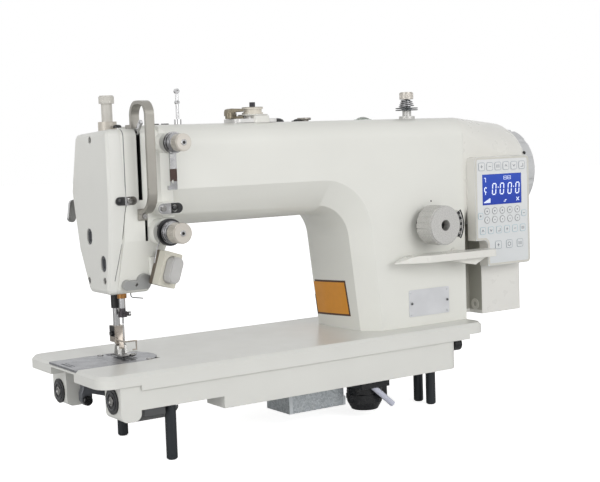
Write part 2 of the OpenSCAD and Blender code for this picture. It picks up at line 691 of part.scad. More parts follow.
module reverse_lever() place() color("ivory") difference() {
    union() {
        // paddle, narrow at its free end
        translate([0, 0, lever_z - 4]) linear_extrude(8) hull() {
            translate([lever_x + 31, 11.5]) circle(4, $fn = 32);
            translate([lever_x + 31, -1]) circle(4, $fn = 32);
            translate([lever_x + 34 - lever_len, 17]) circle(3, $fn = 32);
            translate([lever_x - 60, 4]) circle(6, $fn = 32);
            translate([lever_x - 50, 16]) circle(6, $fn = 32);
        }
        // rib under the wide end, and the hub
        along_y(2, 18) polygon([[lever_x + 33, lever_z], [lever_x + 8, lever_z - 12],
            [lever_x - 12, lever_z - 8], [lever_x - 40, lever_z]]);
        rod_y(10, arm_front - 1, lever_x, lever_z, lever_shaft_r - 2);
        rod_y(arm_front - 2, arm_front + bevel_y - 4, lever_x, lever_z, lever_shaft_r);
    }
    // the free end's top falls away
    along_y(-10, arm_front) translate([lever_x + 31 - lever_len, lever_z])
        polygon([[-1, -3], [9, 0.5], [17, 2.8], [28, 5], [-1, 5]]);
}
module handwheel() place() color("lightgray") difference() {
    union() {
        rod_x(wheel_x0 + 2.5, wheel_x1 - 2.5, axis_y, shaft_height, wheel_r);
        rod_x(wheel_x0, wheel_x1, axis_y, shaft_height, wheel_r - 2.5);
    }
    // dished outer face round the hub
    difference() {
        rod_x(wheel_x1 - 8, wheel_x1 + 1, axis_y, shaft_height, wheel_r - 9);
        rod_x(wheel_x1 - 9, wheel_x1 + 2, axis_y, shaft_height, main_r + 8);
    }
    rod_x(wheel_x0 - 1, wheel_x1 - 3, axis_y, shaft_height, main_r + fix_gap);
    // grip hollows round the rim
    for (i = [0:11]) rod_x(wheel_x0 - 1, wheel_x1 + 1,
        axis_y + (wheel_r + 3.4) * cos(30 * i + 15), shaft_height + (wheel_r + 3.4) * sin(30 * i + 15), 5);
}
module motor_stator() place() color("dimgray") difference() {
    rod_x(column_x1, motor_x1, axis_y, shaft_height, motor_r);
    rod_x(column_x1 - 1, motor_x1 + 1, axis_y, shaft_height, rotor_r + move_gap);
}
module motor_rotor() place() color("gray") difference() {
    rod_x(column_x1 + 6, motor_x1 - 2, axis_y, shaft_height, rotor_r);
    rod_x(column_x1, motor_x1, axis_y, shaft_height, main_r + fix_gap);
}

// ---------- main shaft and belt ----------
module main_shaft() place() color("silver") {
    rod_x(crank_x[0] + 2, wheel_x1 - 6, axis_y, shaft_height, main_r);
    difference() {
        union() {
            rod_x(pulley_x[0], pulley_x[1], axis_y, shaft_height, pulley_r);
            for (x = [pulley_x[0] - 1.5, pulley_x[1]]) rod_x(x, x + 1.5, axis_y, shaft_height, pulley_r + 2);
        }
        rod_x(pulley_x[0] - 2, pulley_x[1] + 2, axis_y, shaft_height, main_r - 1);
    }
}
module crank() place() color("dimgray") difference() {
    union() {
        rod_x(crank_x[0], crank_x[1], axis_y, shaft_height, main_r + 5);
        // counterweight opposite the pin
        intersection() {
            rod_x(crank_x[0], crank_x[1], axis_y, shaft_height, 26);
            translate([0, axis_y - 26, shaft_height - 26]) cube([crank_x[1], 52, 30]);
        }
        along_x(crank_x[0], crank_x[1]) translate([axis_y, shaft_height]) hull() {
            circle(main_r + 2, $fn = 32);
            translate([0, crank_r]) circle(6, $fn = 32);
        }
    }
    rod_x(crank_x[0] + 2 - eps, crank_x[1] + 1, axis_y, shaft_height, main_r + fix_gap);
}
module needle_link() place() color("silver") difference() {
    along_x(link_x[0], link_x[1]) translate([axis_y, stud_z]) {
        hull() {
            circle(4, $fn = 32);
            translate([0, link_len]) circle(4, $fn = 32);
        }
        circle(6.5);
        translate([0, link_len]) circle(7);
    }
    rod_x(link_x[0] - 1, link_x[1] + 1, axis_y, stud_z, 3.5 + run_gap);
    rod_x(link_x[0] - 1, link_x[1] + 1, axis_y, stud_z + link_len, 4);
}
module timing_belt() place() color("dimgray")
    along_x(pulley_x[0] + 2, pulley_x[1] - 2) difference() {
        hull() {
            translate([axis_y, shaft_height]) circle(pulley_r + move_gap + 1.6);
            translate([axis_y, hook_z]) circle(pulley_r / 2 + move_gap + 1.6);
        }
        hull() {
            translate([axis_y, shaft_height]) circle(pulley_r + move_gap);
            translate([axis_y, hook_z]) circle(pulley_r / 2 + move_gap);
        }
    }
module bush_x(x0, x1, z, outer, inner) {
    difference() {
        rod_x(x0, x1, axis_y, z, outer);
        rod_x(x0 - 1, x1 + 1, axis_y, z, inner);
    }
}
module bush_z(z0, z1, y, outer, inner) {
    difference() {
        rod_z(z0, z1, needle_x, y, outer);
        rod_z(z0 - 1, z1 + 1, needle_x, y, inner);
    }
}
module bushes() place() color("darkgoldenrod") {
    for (w = [left_wall, mid_wall, right_wall])
        bush_x(w[0], w[1], shaft_height, main_bush_r, main_r + run_gap);
    for (w = [low_web, far_web]) bush_x(w[0], w[1], hook_z, hook_bush_r, hook_shaft_r + run_gap);
    for (z = [[head_bottom - 8, head_bottom + 14], [arm_top - 28, arm_top - 10]])
        bush_z(z[0], z[1], axis_y, bar_bush_r, needle_bar_d / 2 + run_gap);
    bush_z(head_bottom - 19, head_bottom + 14, presser_y, presser_bush_r, presser_bar_d / 2 + run_gap);
}

// ---------- needle, link and take-up ----------
module needle_bar() place() color("silver") {
    difference() {
        union() {
            rod_z(bar_low, arm_top - 12, needle_x, axis_y, needle_bar_d / 2);
            // needle clamp at the lower end
            rod_z(bar_low - 5.5, bar_low, needle_x, axis_y, 4.6);
            rod_x(needle_x, needle_x + 8.5, axis_y, bar_low - 3, 1.7);
            rod_x(needle_x + 6, needle_x + 8.5, axis_y, bar_low - 3, 2.4);
            // stud for the link
            rod_z(stud_z - 8, stud_z + 8, needle_x, axis_y, needle_bar_d / 2 + 0.6);
        }
        rod_z(bar_low - 9, bar_low + 8, needle_x, axis_y, 1 + fix_gap);
    }
    rod_x(needle_x + 1.5, link_x[1], axis_y, stud_z, 3.3);
    wire([for (p = [[-2, -3], [-2, -6.5], [2, -6.5], [2, -3]]) [needle_x + p[0], axis_y + p[1], bar_low - 2]], 0.5);
}
module needle() place() color("silver") difference() {
    union() {
        rod_z(bar_low - 12, bar_low + 6, needle_x, axis_y, 1);
        rod_z(needle_tip + 3, bar_low - 12, needle_x, axis_y, needle_d / 2);
        translate([needle_x, axis_y, needle_tip]) cylinder(h = 3, r1 = 0.1, r2 = needle_d / 2);
    }
    rod_x(needle_x - 2, needle_x + 2, axis_y, needle_tip + 6, needle_d / 5);
}
module take_up_lever() place() color("silver") difference() {
    union() {
        along_x(slot_x0 + 1, slot_x0 + slot_w - 1) {
            hull() {
                translate([take_up_y, take_up_z]) circle(3.5, $fn = 32);
                translate(take_up_eye) circle(2.2, $fn = 32);
            }
            translate(take_up_eye) circle(2.6);
        }
        rod_x(slot_x0 + 0.6, slot_x0 + slot_w + 4, take_up_y, take_up_z, take_up_pin_r + 3);
    }
    rod_x(slot_x0, slot_x0 + slot_w + 5, take_up_y, take_up_z, take_up_pin_r + run_gap);
    rod_x(slot_x0, slot_x0 + slot_w + 5, take_up_eye[0], take_up_eye[1], 1.1);
}
module guard_view(t) {
    // hoop over the take-up lever
    translate([guard_y[0] + t, arm_top - 60]) round_rect(guard_y[1] - guard_y[0] - 2 * t,
        guard_top - t - arm_top + 60, 14 - t);
}
module guard_side() {
    difference() {
        guard_view(0);
        guard_view(guard_t);
        translate([guard_y[0] - 1, 0]) square([guard_t + 30, arm_top - 40]);
        translate([guard_y[0] + guard_t + 1, 0]) square([50, arm_top - 3]);
    }
    // front leg, bent back to a lug on the head below the slot
    translate([guard_y[0], slot_z0 + 7]) square([guard_t, arm_top - 27 - slot_z0]);
    intersection() {
        translate([guard_y[0] + guard_bend, slot_z0 + 7]) difference() {
            circle(guard_bend);
            circle(guard_bend - guard_t);
        }
        translate([guard_y[0], slot_z0 - 14]) square([head_front - guard_t / 2 - guard_y[0], 21]);
    }
    hull() for (z = [slot_z0 - 10, slot_z0 - 18])
        translate([head_front - guard_t / 2, z]) circle(guard_t / 2, $fn = 32);
    // foot on the head's top
    translate([guard_y[1] - guard_t, arm_top - 3]) square([13, guard_t]);
}
module take_up_guard() place() color("tan") difference() {
    along_x(slot_x0 - 2, slot_x0 + slot_w + 2.5) guard_side();
    front_screw_holes();
}

// ---------- face plate and rubber plugs ----------
// End view of the face plate's outer side
module face_outline(inset) {
    offset(delta = -inset) offset(r = 6, $fn = 32) offset(delta = -6) polygon([
        [chin_y0, head_bottom], [head_front + 3, head_bottom + 52], [head_front, shaft_height - 6],
        [head_front, arm_top - 3], [axis_y + 28, arm_top - 7], [cheek_y - 1, cheek_z + 3],
        [axis_y + 30, head_bottom + 41], [axis_y + 9, head_bottom]
    ]);
}
module face_plate() place() color("whitesmoke") difference() {
    intersection() {
        hull() {
            along_x(face_x, face_x + 1) face_outline(4);
            along_x(face_x + 2, face_x + 3) face_outline(1);
            along_x(face_x + 5, seam_x + seam_bulge) face_outline(0);
        }
        along_y(head_front - 1, arm_back) polygon(concat([[face_x - 1, arm_top + 10], [face_x - 1, 0]], seam));
    }
    along_x(face_x + face_wall, seam_x + 10) face_outline(arm_wall);
    for (p = face_plugs) along_x(face_x - 1, face_x + face_wall + 1) translate(p) oval_up(16, 12);
    for (p = face_screws) {
        rod_x(face_x - 1, face_x + 20, p[0], p[1], 1.6);
        rod_x(face_x - 1, face_x + head_sink, p[0], p[1], 3.4);
    }
    // room for the take-up slot
    translate([slot_x0, head_front - 5, slot_z0]) cube([slot_w, 24, arm_top]);
}
module oval_up(h, w) rotate(90) oval(h, w);
module rubber_plugs() place() color("dimgray") {
    for (p = face_plugs) along_x(face_x + 1.2, face_x + face_wall) translate(p) difference() {
        oval_up(16 - 2 * fix_gap, 12 - 2 * fix_gap);
        oval_up(10, 6);
    }
    for (p = face_plugs) along_x(face_x + 2.2, face_x + face_wall - 0.2) translate(p) oval_up(10 + eps, 6 + eps);
    for (p = top_plugs) {
        rod_z(arm_top - arm_wall + 1, arm_top + 0.1, p[0], p[1], p[2] - 1.5 - fix_gap);
        rod_z(arm_top, arm_top + 1.6, p[0], p[1], p[2]);
    }
}

// ---------- plates, feed and hook ----------
module needle_plate() place() color("silver") difference() {
    translate([0, 0, -plate_t]) linear_extrude(plate_t) difference() {
        union() {
            translate([needle_x, axis_y]) circle(plate_r - move_gap);
            translate([needle_x - plate_joint + move_gap, axis_y - plate_r + move_gap])
                square([plate_joint, 2 * (plate_r - move_gap)]);
        }
        translate([0, 0]) square([needle_x - plate_joint + move_gap, bed_width]);
        // feed slots and needle hole
        for (x = feed_rows) translate([x - 1.4, axis_y - 15]) square([2.8, 43]);
        translate([needle_x, axis_y]) circle(1.1, $fn = 32);
    }
    for (p = plate_screws) translate([p[0], p[1], -plate_t - 1]) cylinder(h = plate_t + 2, r = 1.8);
}
module slide_plate() place() color("silver") {
    difference() {
        translate([0, axis_y - plate_r + move_gap, -plate_t])
            cube([needle_x - plate_joint, 2 * (plate_r - move_gap), plate_t]);
        // finger grip
        translate([3, axis_y - 12, -0.6]) cube([3, 24, 1]);
        translate([8, axis_y - 12, -0.6]) cube([1.2, 24, 1]);
    }
}
module feed_dog() place() color("silver") difference() {
    union() {
        translate([feed_rows[0] - 1, axis_y - 12, -8]) cube([feed_rows[2] - feed_rows[0] + 2, 36, 4.5]);
        // toothed rows
        for (x = feed_rows) along_x(x - 1, x + 1) polygon(concat(
            [[axis_y + 24, -0.9], [axis_y + 24, -5], [axis_y - 12, -5]],
            [for (i = [0:23], k = [0, 1]) [axis_y - 12 + 1.5 * i + 1.3 * k, -0.9 + 0.6 * k]]
        ));
    }
    translate([needle_x - 2.4, axis_y - 3.5, -9]) cube([4.8, 7, 9.5]);
}
module feed_bar() place() color("dimgray") difference() {
    along_y(axis_y + 16, axis_y + 23.5) polygon([
        [feed_rows[0] - 3.5, -8.4], [needle_x + 20, -8.4], [needle_x + 26, -12.8], [needle_x + 82, -12.8],
        [needle_x + 82, -19], [needle_x + 24, -19], [needle_x + 18, -14.5], [feed_rows[0] - 3.5, -14.5]
    ]);
    rod_y(axis_y + 15, axis_y + 25, needle_x + 76, -16, 1.5);
}
module rotary_hook() place() color("silver") difference() {
    union() {
        rod_x(hook_x[0], hook_x[1], axis_y, hook_z, hook_r);
        rod_x(hook_x[1] - 1, hook_x[1] + 8, axis_y, hook_z, 8);
    }
    rod_x(hook_x[0] - 1, hook_x[1] - 4, axis_y, hook_z, hook_r - 2.7);
    // opening at the top that the needle enters
    along_x(needle_x - 3.5, needle_x + 4.5) translate([axis_y, hook_z])
        polygon([[0, 0], [-hook_r, 1.5 * hook_r], [hook_r, 1.5 * hook_r]]);
    rod_x(hook_x[1] - 5, hook_x[1] + 9, axis_y, hook_z, hook_shaft_r + fix_gap);
}
module bobbin_case() place() color("silver") difference() {
    rod_x(hook_x[0] - 4, needle_x - 2, axis_y, hook_z, hook_r - 2.7 - move_gap);
    rod_x(hook_x[0] - 1, needle_x - 1, axis_y, hook_z, bobbin_r + move_gap);
    // latch recess
    translate([hook_x[0] - 5, axis_y - 3, hook_z + 2]) cube([2, 6, 10]);
    rod_x(hook_x[0] - 5, hook_x[0], axis_y, hook_z, 2.9);
}
module bobbin() place() color("silver") difference() {
    union() {
        for (x = [hook_x[0] - 0.6, needle_x - 5]) rod_x(x, x + 0.8, axis_y, hook_z, bobbin_r);
        rod_x(hook_x[0] - 0.6, needle_x - 4.4, axis_y, hook_z, 4.6);
    }
    rod_x(hook_x[0] - 2, needle_x, axis_y, hook_z, 3);
}
module hook_shaft() place() color("silver") {
    rod_x(hook_x[1] - 3, pulley_x[1] + 1, axis_y, hook_z, hook_shaft_r);
    difference() {
        union() {
            rod_x(pulley_x[0], pulley_x[1], axis_y, hook_z, pulley_r / 2);
            for (x = [pulley_x[0] - 1.5, pulley_x[1]]) rod_x(x, x + 1.5, axis_y, hook_z, pulley_r / 2 + 2);
        }
        rod_x(pulley_x[0] - 2, pulley_x[1] + 2, axis_y, hook_z, hook_shaft_r - 1);
    }
}

// ---------- presser ----------
module presser_bar() place() color("silver") {
    rod_z(foot_z[1] - 7, arm_top - 38, needle_x, presser_y, presser_bar_d / 2);
    // bracket that the lifter raises
    difference() {
        translate([needle_x - 7, presser_y - 6, bracket_z])
            cube([link_x[0] - move_gap - needle_x + 7, 22, 6]);
        rod_z(bracket_z - 1, bracket_z + 7, needle_x, presser_y, presser_bar_d / 2 - 0.5);
    }
}
module presser_foot() place() color("silver") difference() {
    union() {
        translate([needle_x - 5.5, presser_y - 6, foot_z[0]]) cube([11, 12, foot_z[1] - foot_z[0]]);
        // forked lug to the hinge of the sole
        along_x(needle_x - 2.5, needle_x + 2.5) polygon([
            [presser_y - 9.6, foot_z[0] - 6], [presser_y - 9.6, foot_z[0] - 1], [presser_y - 6, foot_z[0] + 6],
            [presser_y, foot_z[0] + 6], [presser_y, foot_z[0] - 1], [presser_y - 4.5, foot_z[0] - 6]
        ]);
        rod_x(needle_x - 2.5, needle_x + 2.5, presser_y - 7, foot_hinge_z, 2.6);
        rod_x(needle_x - 7.5, needle_x - 5, presser_y, foot_z[0] + 9, 2.6);
        // finger guard
        rod_y(axis_y - 14.8, presser_y - 5, needle_x - 6.1, foot_z[0] + 4, 0.8);
        rod_x(needle_x - 6.8, needle_x + 7.4, axis_y - 14, foot_z[0] + 4, 0.76);
        rod_z(foot_z[0] - 5.5, foot_z[0] + 4.7, needle_x + 6.7, axis_y - 14, 0.72);
        rod_x(needle_x + 2.5, needle_x + 7.2, axis_y - 14, foot_z[0] - 4.8, 0.68);
    }
    rod_z(foot_z[1] - 7, foot_z[1] + 1, needle_x, presser_y, presser_bar_d / 2 + fix_gap);
    rod_x(needle_x - 4, needle_x + 4, presser_y - 7, foot_hinge_z, 1.2 + run_gap);
    // relief so that the sole can tilt
    translate([needle_x - 8, presser_y - 5, foot_z[0] - 1]) cube([5, 12, 1.6]);
}
module foot_sole() place() color("silver") difference() {
    union() {
        along_x(needle_x - 7, needle_x + 7) polygon([
            [axis_y - 13, 3.6], [axis_y - 9, sole_z], [axis_y + 13, sole_z], [axis_y + 13, sole_z + 1.8],
            [axis_y - 8, sole_z + 1.8], [axis_y - 13, 5.4]
        ]);
        for (x = [needle_x - 5.2, needle_x + 2.8]) along_x(x, x + 2.4) polygon([
            [presser_y - 11, sole_z + 1], [presser_y - 9.4, foot_hinge_z + 1], [presser_y - 7, foot_hinge_z + 2.4],
            [presser_y - 4.6, foot_hinge_z + 1], [presser_y - 2, sole_z + 1]
        ]);
        rod_x(needle_x - 5.2, needle_x + 5.2, presser_y - 7, foot_hinge_z, 1.2);
    }
    // needle slot and cleft of the toes
    translate([0, 0, sole_z - 1]) linear_extrude(8) {
        translate([needle_x, axis_y]) circle(2.2, $fn = 32);
        translate([needle_x - 1.2, axis_y - 15]) square([2.4, 15]);
    }
}
module presser_spring() place() color("silver")
    translate([needle_x, presser_y, bracket_z + 7.2])
        coil(presser_bar_d / 2 + 1.9, 0.8, arm_top - 32 - bracket_z - 8.2, 6);
module pressure_screw() place() color("silver") difference() {
    union() {
        rod_z(arm_top - 31, arm_top + 24, needle_x, presser_y, screw_r);
        rod_z(arm_top + 23, arm_top + 30, needle_x, presser_y, screw_r + 2.2);
        rod_z(arm_top + 29, arm_top + 31, needle_x, presser_y, screw_r + 1.4);
    }
    for (i = [0:17]) rod_z(arm_top + 24, arm_top + 29,
        needle_x + (screw_r + 2.7) * cos(20 * i), presser_y + (screw_r + 2.7) * sin(20 * i), 0.9);
    rod_z(arm_top - 32, arm_top - 30, needle_x, presser_y, screw_r - 2);
    rod_z(arm_top + 30, arm_top + 32, needle_x, presser_y, 2.4);
}
module lifter_lever() place() color("silver") {
    rod_y(presser_y + 11.6, cheek_y + 8.5, lifter_x, lifter_z, lifter_r);
    // lobe under the presser bar's bracket
    along_y(presser_y + 11.6, presser_y + 15.4) translate([lifter_x, lifter_z]) hull() {
        circle(3.4, $fn = 32);
        rotate(170) translate([6.5, 0]) circle(3, $fn = 32);
    }
    // handle behind the head
    difference() {
        along_y(cheek_y + 4.5, cheek_y + 8.5) translate([lifter_x, lifter_z]) {
            circle(lifter_r + 3.5);
            hull() {
                circle(5, $fn = 32);
                translate([-34, -2]) circle(5, $fn = 32);
            }
            hull() {
                translate([-34, -2]) circle(5, $fn = 32);
                translate([-37, -16]) circle(4, $fn = 32);
            }
        }
        rod_y(cheek_y + 4, cheek_y + 9, lifter_x, lifter_z, 1.5);
    }
}

// ---------- thread tensions, guides and posts ----------
module tension_unit() place() color("silver") {
    rod_y(tension_face + 2 + move_gap, arm_front + 14, tension_x, tension_z, post_r);
    difference() {
        union() {
            rod_y(23.5, 27, tension_x, tension_z, tension_nut_r + 2);
            rod_y(21, 22, tension_x, tension_z, tension_nut_r + 3.2);
            rod_y(19, 20, tension_x, tension_z, tension_nut_r + 3.2);
            rod_y(16.6, 18, tension_x, tension_z, tension_nut_r + 1);
            rod_y(18, 23.6, tension_x, tension_z, tension_nut_r - 2);
            rod_y(9.2, 16.8, tension_x, tension_z, tension_nut_r - 4);
            rod_y(9, 10.2, tension_x, tension_z, tension_nut_r - 1);
            rod_y(26.8, arm_front, tension_x, tension_z, tension_nut_r - 4);
        }
        rod_y(8, arm_front + 1, tension_x, tension_z, post_r - 1);
    }
}
module tension_nut() place() color("silver")
    thumb_nut(tension_x, tension_z, tension_face, 14, tension_nut_r, post_r, 24);
module pretension_unit() place() color("silver") {
    rod_y(pretension_face + 2 + move_gap, arm_front + 14, pretension_x, pretension_z, post_r);
    difference() {
        union() {
            rod_y(19, 20, pretension_x, pretension_z, pretension_nut_r + 2);
            rod_y(17.2, 18.2, pretension_x, pretension_z, pretension_nut_r + 2);
            rod_y(10, 17.5, pretension_x, pretension_z, pretension_nut_r - 3);
            rod_y(18, arm_front, pretension_x, pretension_z, pretension_nut_r - 3);
            // guide arm that hangs down from the post
            along_y(21.5, 23.5) {
                translate([pretension_x, pretension_z]) circle(pretension_nut_r);
                translate([pretension_x - 3, shaft_height + 4]) square([7, 44]);
                translate([pretension_x - 6, shaft_height + 2]) square([10, 4]);
            }
        }
        rod_y(8, arm_front + 1, pretension_x, pretension_z, post_r - 1);
        rod_y(21, 24, pretension_x - 0.5, shaft_height + 10, 1.6);
    }
}
module pretension_nut() place() color("silver")
    thumb_nut(pretension_x, pretension_z, pretension_face, 11, pretension_nut_r, post_r, 20);
module check_spring() place() color("silver") {
    translate([tension_x, arm_front - 1.6, tension_z]) rotate([90, -75, 0])
        rotate_extrude(angle = 150) translate([8, 0]) circle(0.5, $fn = 32);
    wire([[tension_x - 5.66, arm_front - 1.6, tension_z - 5.66], [tension_x - 10, arm_front - 1.6, tension_z - 14],
          [tension_x - 13.8, arm_front - 1.6, tension_z - 28.8]], 0.5);
}
module thread_post() place() color("silver") difference() {
    union() {
        rod_z(arm_top - arm_wall, arm_top + 34, post_x, top_y, 1.6);
        rod_z(arm_top - arm_wall, arm_top + 0.5, post_x, top_y, 2);
        rod_z(arm_top, arm_top + 5, post_x, top_y, 3.7);
        rod_y(top_y - 1.6, top_y + 1.6, post_x, arm_top + 33, 2.6);
        rod_y(top_y - 1.6, top_y + 1.6, post_x, arm_top + 22, 2.2);
    }
    for (z = [22, 33]) rod_y(top_y - 3, top_y + 3, post_x, arm_top + z, 1);
}
module thread_guides() place() color("silver") {
    difference() {
        along_y(head_front - 1.5, head_front) translate([needle_x - 13.5, shaft_height - 7]) oval(22, 8);
        rod_y(head_front - 2, head_front + 1, needle_x - 20.5, shaft_height - 7, 2);
        rod_y(head_front - 2, head_front + 1, needle_x - 10, shaft_height - 7, 1.5);
    }
    difference() {
        along_y(arm_front - 2.5, arm_front - 1) translate([guide_x, guide_z]) oval(26, 10);
        rod_y(arm_front - 3, arm_front, guide_x + 4.6, guide_z, 3.4);
        rod_y(arm_front - 3, arm_front, guide_x - 8, guide_z, 1.5);
    }
}
module head_guard() place() color("gray")
    translate([0, chin_y0, head_bottom]) rotate([chin_slope, 0, 0]) difference() {
        translate([0, -0.1, 0]) rotate([90, 0, 0]) linear_extrude(4) {
            translate([needle_x - 14, 5]) round_rect(26, 9, 3);
            for (c = [[-12.5, 10, 5], [5.5, 12.5, 7.5]]) translate([needle_x + c[0], c[1]]) circle(c[2]);
        }
        rod_y(-5, 0, needle_x - 3, 10, 1.6);
    }
module switch_frame() translate([switch_x, 0, switch_z]) rotate([0, switch_tilt, 0]) children();
module switch_housing() place() color("wheat") difference() {
    switch_frame() union() {
        along_y(head_front - 7, head_front) translate([-10, -17]) round_rect(17, 34, 1.5);
        along_y(head_front - 19, head_front - 7) translate([-10, -17]) round_rect(19, 34, 1.5);
    }
    switch_frame() along_y(head_front - 20, head_front - 12) rotate(90)
        oval(25.8 + 2 * move_gap, 12.4 + 2 * move_gap);
}
module switch_button() place() color("lightgray") switch_frame() union() {
    along_y(head_front - 30, head_front - 16) rotate(90) oval(25.8, 12.4);
    along_y(head_front - 31, head_front - 30) rotate(90) oval(23.8, 10.4);
}

// ---------- bobbin winder ----------
module winder_base() place() color("silver") difference() {
    union() {
        translate([winder_x - 29, top_y - 14, arm_top]) linear_extrude(4) round_rect(52, 28, 6);
        rod_z(arm_top, arm_top + 8, winder_x, top_y, 10);
        rod_z(arm_top, arm_top + 12.6, winder_x - 22, top_y + 6, 3);
    }
    rod_z(arm_top - 1, arm_top + 9, winder_x, top_y, spindle_r + run_gap);
}
module winder_spindle() place() color("silver") difference() {
    union() {
        rod_z(arm_top - arm_wall - 4, arm_top + 9, winder_x, top_y, spindle_r);
        rod_z(arm_top + 8.6, arm_top + 16, winder_x, top_y, 11);
        rod_z(arm_top + 15, arm_top + 21, winder_x, top_y, 3);
    }
    // groove of the drive ring
    difference() {
        rod_z(arm_top + 10.4, arm_top + 13.8, winder_x, top_y, 12);
        rod_z(arm_top + 10, arm_top + 14, winder_x, top_y, 9.6);
    }
    rod_z(arm_top + 18, arm_top + 22, winder_x, top_y, 1);
}
module winder_lever() place() color("gray") difference() {
    union() {
        translate([winder_x - 22, top_y + 6, arm_top + 4.4]) linear_extrude(6) hull() {
            circle(5.5, $fn = 32);
            translate([-10, -12]) circle(4, $fn = 32);
        }
        translate([winder_x - 22, top_y + 6, arm_top + 4.4]) linear_extrude(2.6) hull() {
            circle(3.4, $fn = 32);
            translate([9, -6]) circle(2, $fn = 32);
        }
    }
    rod_z(arm_top + 4, arm_top + 11, winder_x - 22, top_y + 6, 3 + run_gap);
}
module winder_tension() place() color("silver") {
    rod_z(arm_top - arm_wall, arm_top + 28.4, winder_tension_x, top_y, 2.5);
    difference() {
        union() {
            rod_z(arm_top, arm_top + 3, winder_tension_x, top_y, 9);
            rod_z(arm_top + 3, arm_top + 9.6, winder_tension_x, top_y, 5);
            rod_z(arm_top + 9.4, arm_top + 10.4, winder_tension_x, top_y, 12.6);
            rod_z(arm_top + 11.4, arm_top + 12.4, winder_tension_x, top_y, 12.6);
            rod_z(arm_top + 10, arm_top + 12, winder_tension_x, top_y, 6);
            rod_z(arm_top + 12.2, arm_top + 21.4, winder_tension_x, top_y, 4.6);
        }
        rod_z(arm_top - 1, arm_top + 22, winder_tension_x, top_y, 1.5);
    }
}
module winder_nut() place() color("silver")
    translate([winder_tension_x, top_y, arm_top + 30]) difference() {
        union() {
            translate([0, 0, -8]) cylinder(h = 7.2, r = 7.8);
            translate([0, 0, -1]) cylinder(h = 1, r = 6.8);
        }
        translate([0, 0, -9]) cylinder(h = 7.8, r = 2.5 + move_gap);
        for (i = [0:19]) rotate(18 * i) translate([8.3, 0, -7]) cylinder(h = 5, r = 0.9);
    }
module oil_sight() place() color("lightblue") {
    rod_z(arm_top - arm_wall + 1, arm_top + 0.5, sight_x, axis_y, sight_r - 2 - fix_gap);
    rod_z(arm_top, arm_top + 1.2, sight_x, axis_y, sight_r);
    intersection() {
        translate([sight_x, axis_y, arm_top - 9]) sphere(13);
        rod_z(arm_top + 1.1, arm_top + 6, sight_x, axis_y, sight_r);
    }
}

// ---------- under the bed ----------
module legs() place() color("dimgray") for (p = legs_at) {
    rod_z(-leg_reach + leg_chamfer, -bed_plate - 0.5, p[0], p[1], leg_r);
    translate([p[0], p[1], -leg_reach]) cylinder(h = leg_chamfer, r1 = leg_r - leg_chamfer, r2 = leg_r);
}
module bed_plugs() place() color("dimgray") {
    for (p = plugs_at) {
        rod_x(p[0] - 1.6, p[0], p[1], p[2], plug_r);
        rod_x(p[0] - 0.1, p[0] + 5.5, p[1], p[2], plug_r - 3 - fix_gap);
    }
    rod_x(end_plug[0], end_plug[0] + 10, end_plug[1], end_plug[2], end_plug_r);
    rod_x(end_plug[0] - 5.5, end_plug[0] + 0.1, end_plug[1], end_plug[2], end_plug_r - 3 - fix_gap);
}
module oil_shield() place() color("dimgray") {
    intersection() {
        along_x(needle_x - 19, needle_x + 25) difference() {
            translate([axis_y - 30, -14]) circle(44.6);
            translate([axis_y - 30, -14]) circle(43);
            translate([axis_y - 80, -34]) square([120, 80]);
            translate([axis_y - 80, -60]) square([17, 60]);
            translate([axis_y - 20, -60]) square([80, 60]);
        }
        along_y(0, axis_y) translate([needle_x - 20, -59]) round_rect(45, 40, 12);
    }
    // tab to the front wall, beside the leg
    translate([needle_x - 19, skirt_inset + skirt_wall, -44.6])
        cube([22, axis_y - 61 - skirt_inset - skirt_wall, 9.6]);
}
module solenoid_box() place() color("silver") {
    translate([box_at[0], box_at[1], -77]) cube([71, 44, 29]);
    for (x = [8, 51]) translate([box_at[0] + x, box_at[1] + 3, -49]) cube([12, 3, 49 - bed_plate]);
}
module tube_axis() translate([socket_at[0] - 5.5, skirt_inset + skirt_wall + 3.6, -56.5])
    rotate([0, 131, 0]) children();
module cable_socket() place() color("dimgray") difference() {
    union() {
        translate([box_at[0] + 71, skirt_inset + skirt_wall, -56]) cube([37, 50, 8]);
        rod_z(-75, -55, socket_at[0], socket_at[1], 19);
        for (z = [-73:4:-61]) rod_z(z, z + 2, socket_at[0], socket_at[1], 19.5);
        translate([socket_at[0], socket_at[1], -83]) cylinder(h = 8 + eps, r1 = 14.5, r2 = 19);
        // latch
        translate([socket_at[0] + 12, socket_at[1] - 3, -74]) cube([17, 14, 19]);
    }
    rod_z(-84, -71, socket_at[0], socket_at[1], 11);
    tube_axis() translate([0, 0, -20]) cylinder(h = 60, r = 3.2 + fix_gap);
}
module oil_tube() place() color("lightcyan") tube_axis() difference() {
    translate([0, 0, -6]) cylinder(h = 38, r = 3.2);
    translate([0, 0, -7]) cylinder(h = 40, r = 2.1);
}
module nameplate() place() color("silver") union() {
    along_y(arm_front - 0.8, arm_front) translate([dial_x - 27, 11]) round_rect(58, 30, 2);
    for (x = [-24, 28], z = [14, 38]) rod_y(arm_front - 1.6, arm_front - 0.8, dial_x + x, z, 1.2);
}
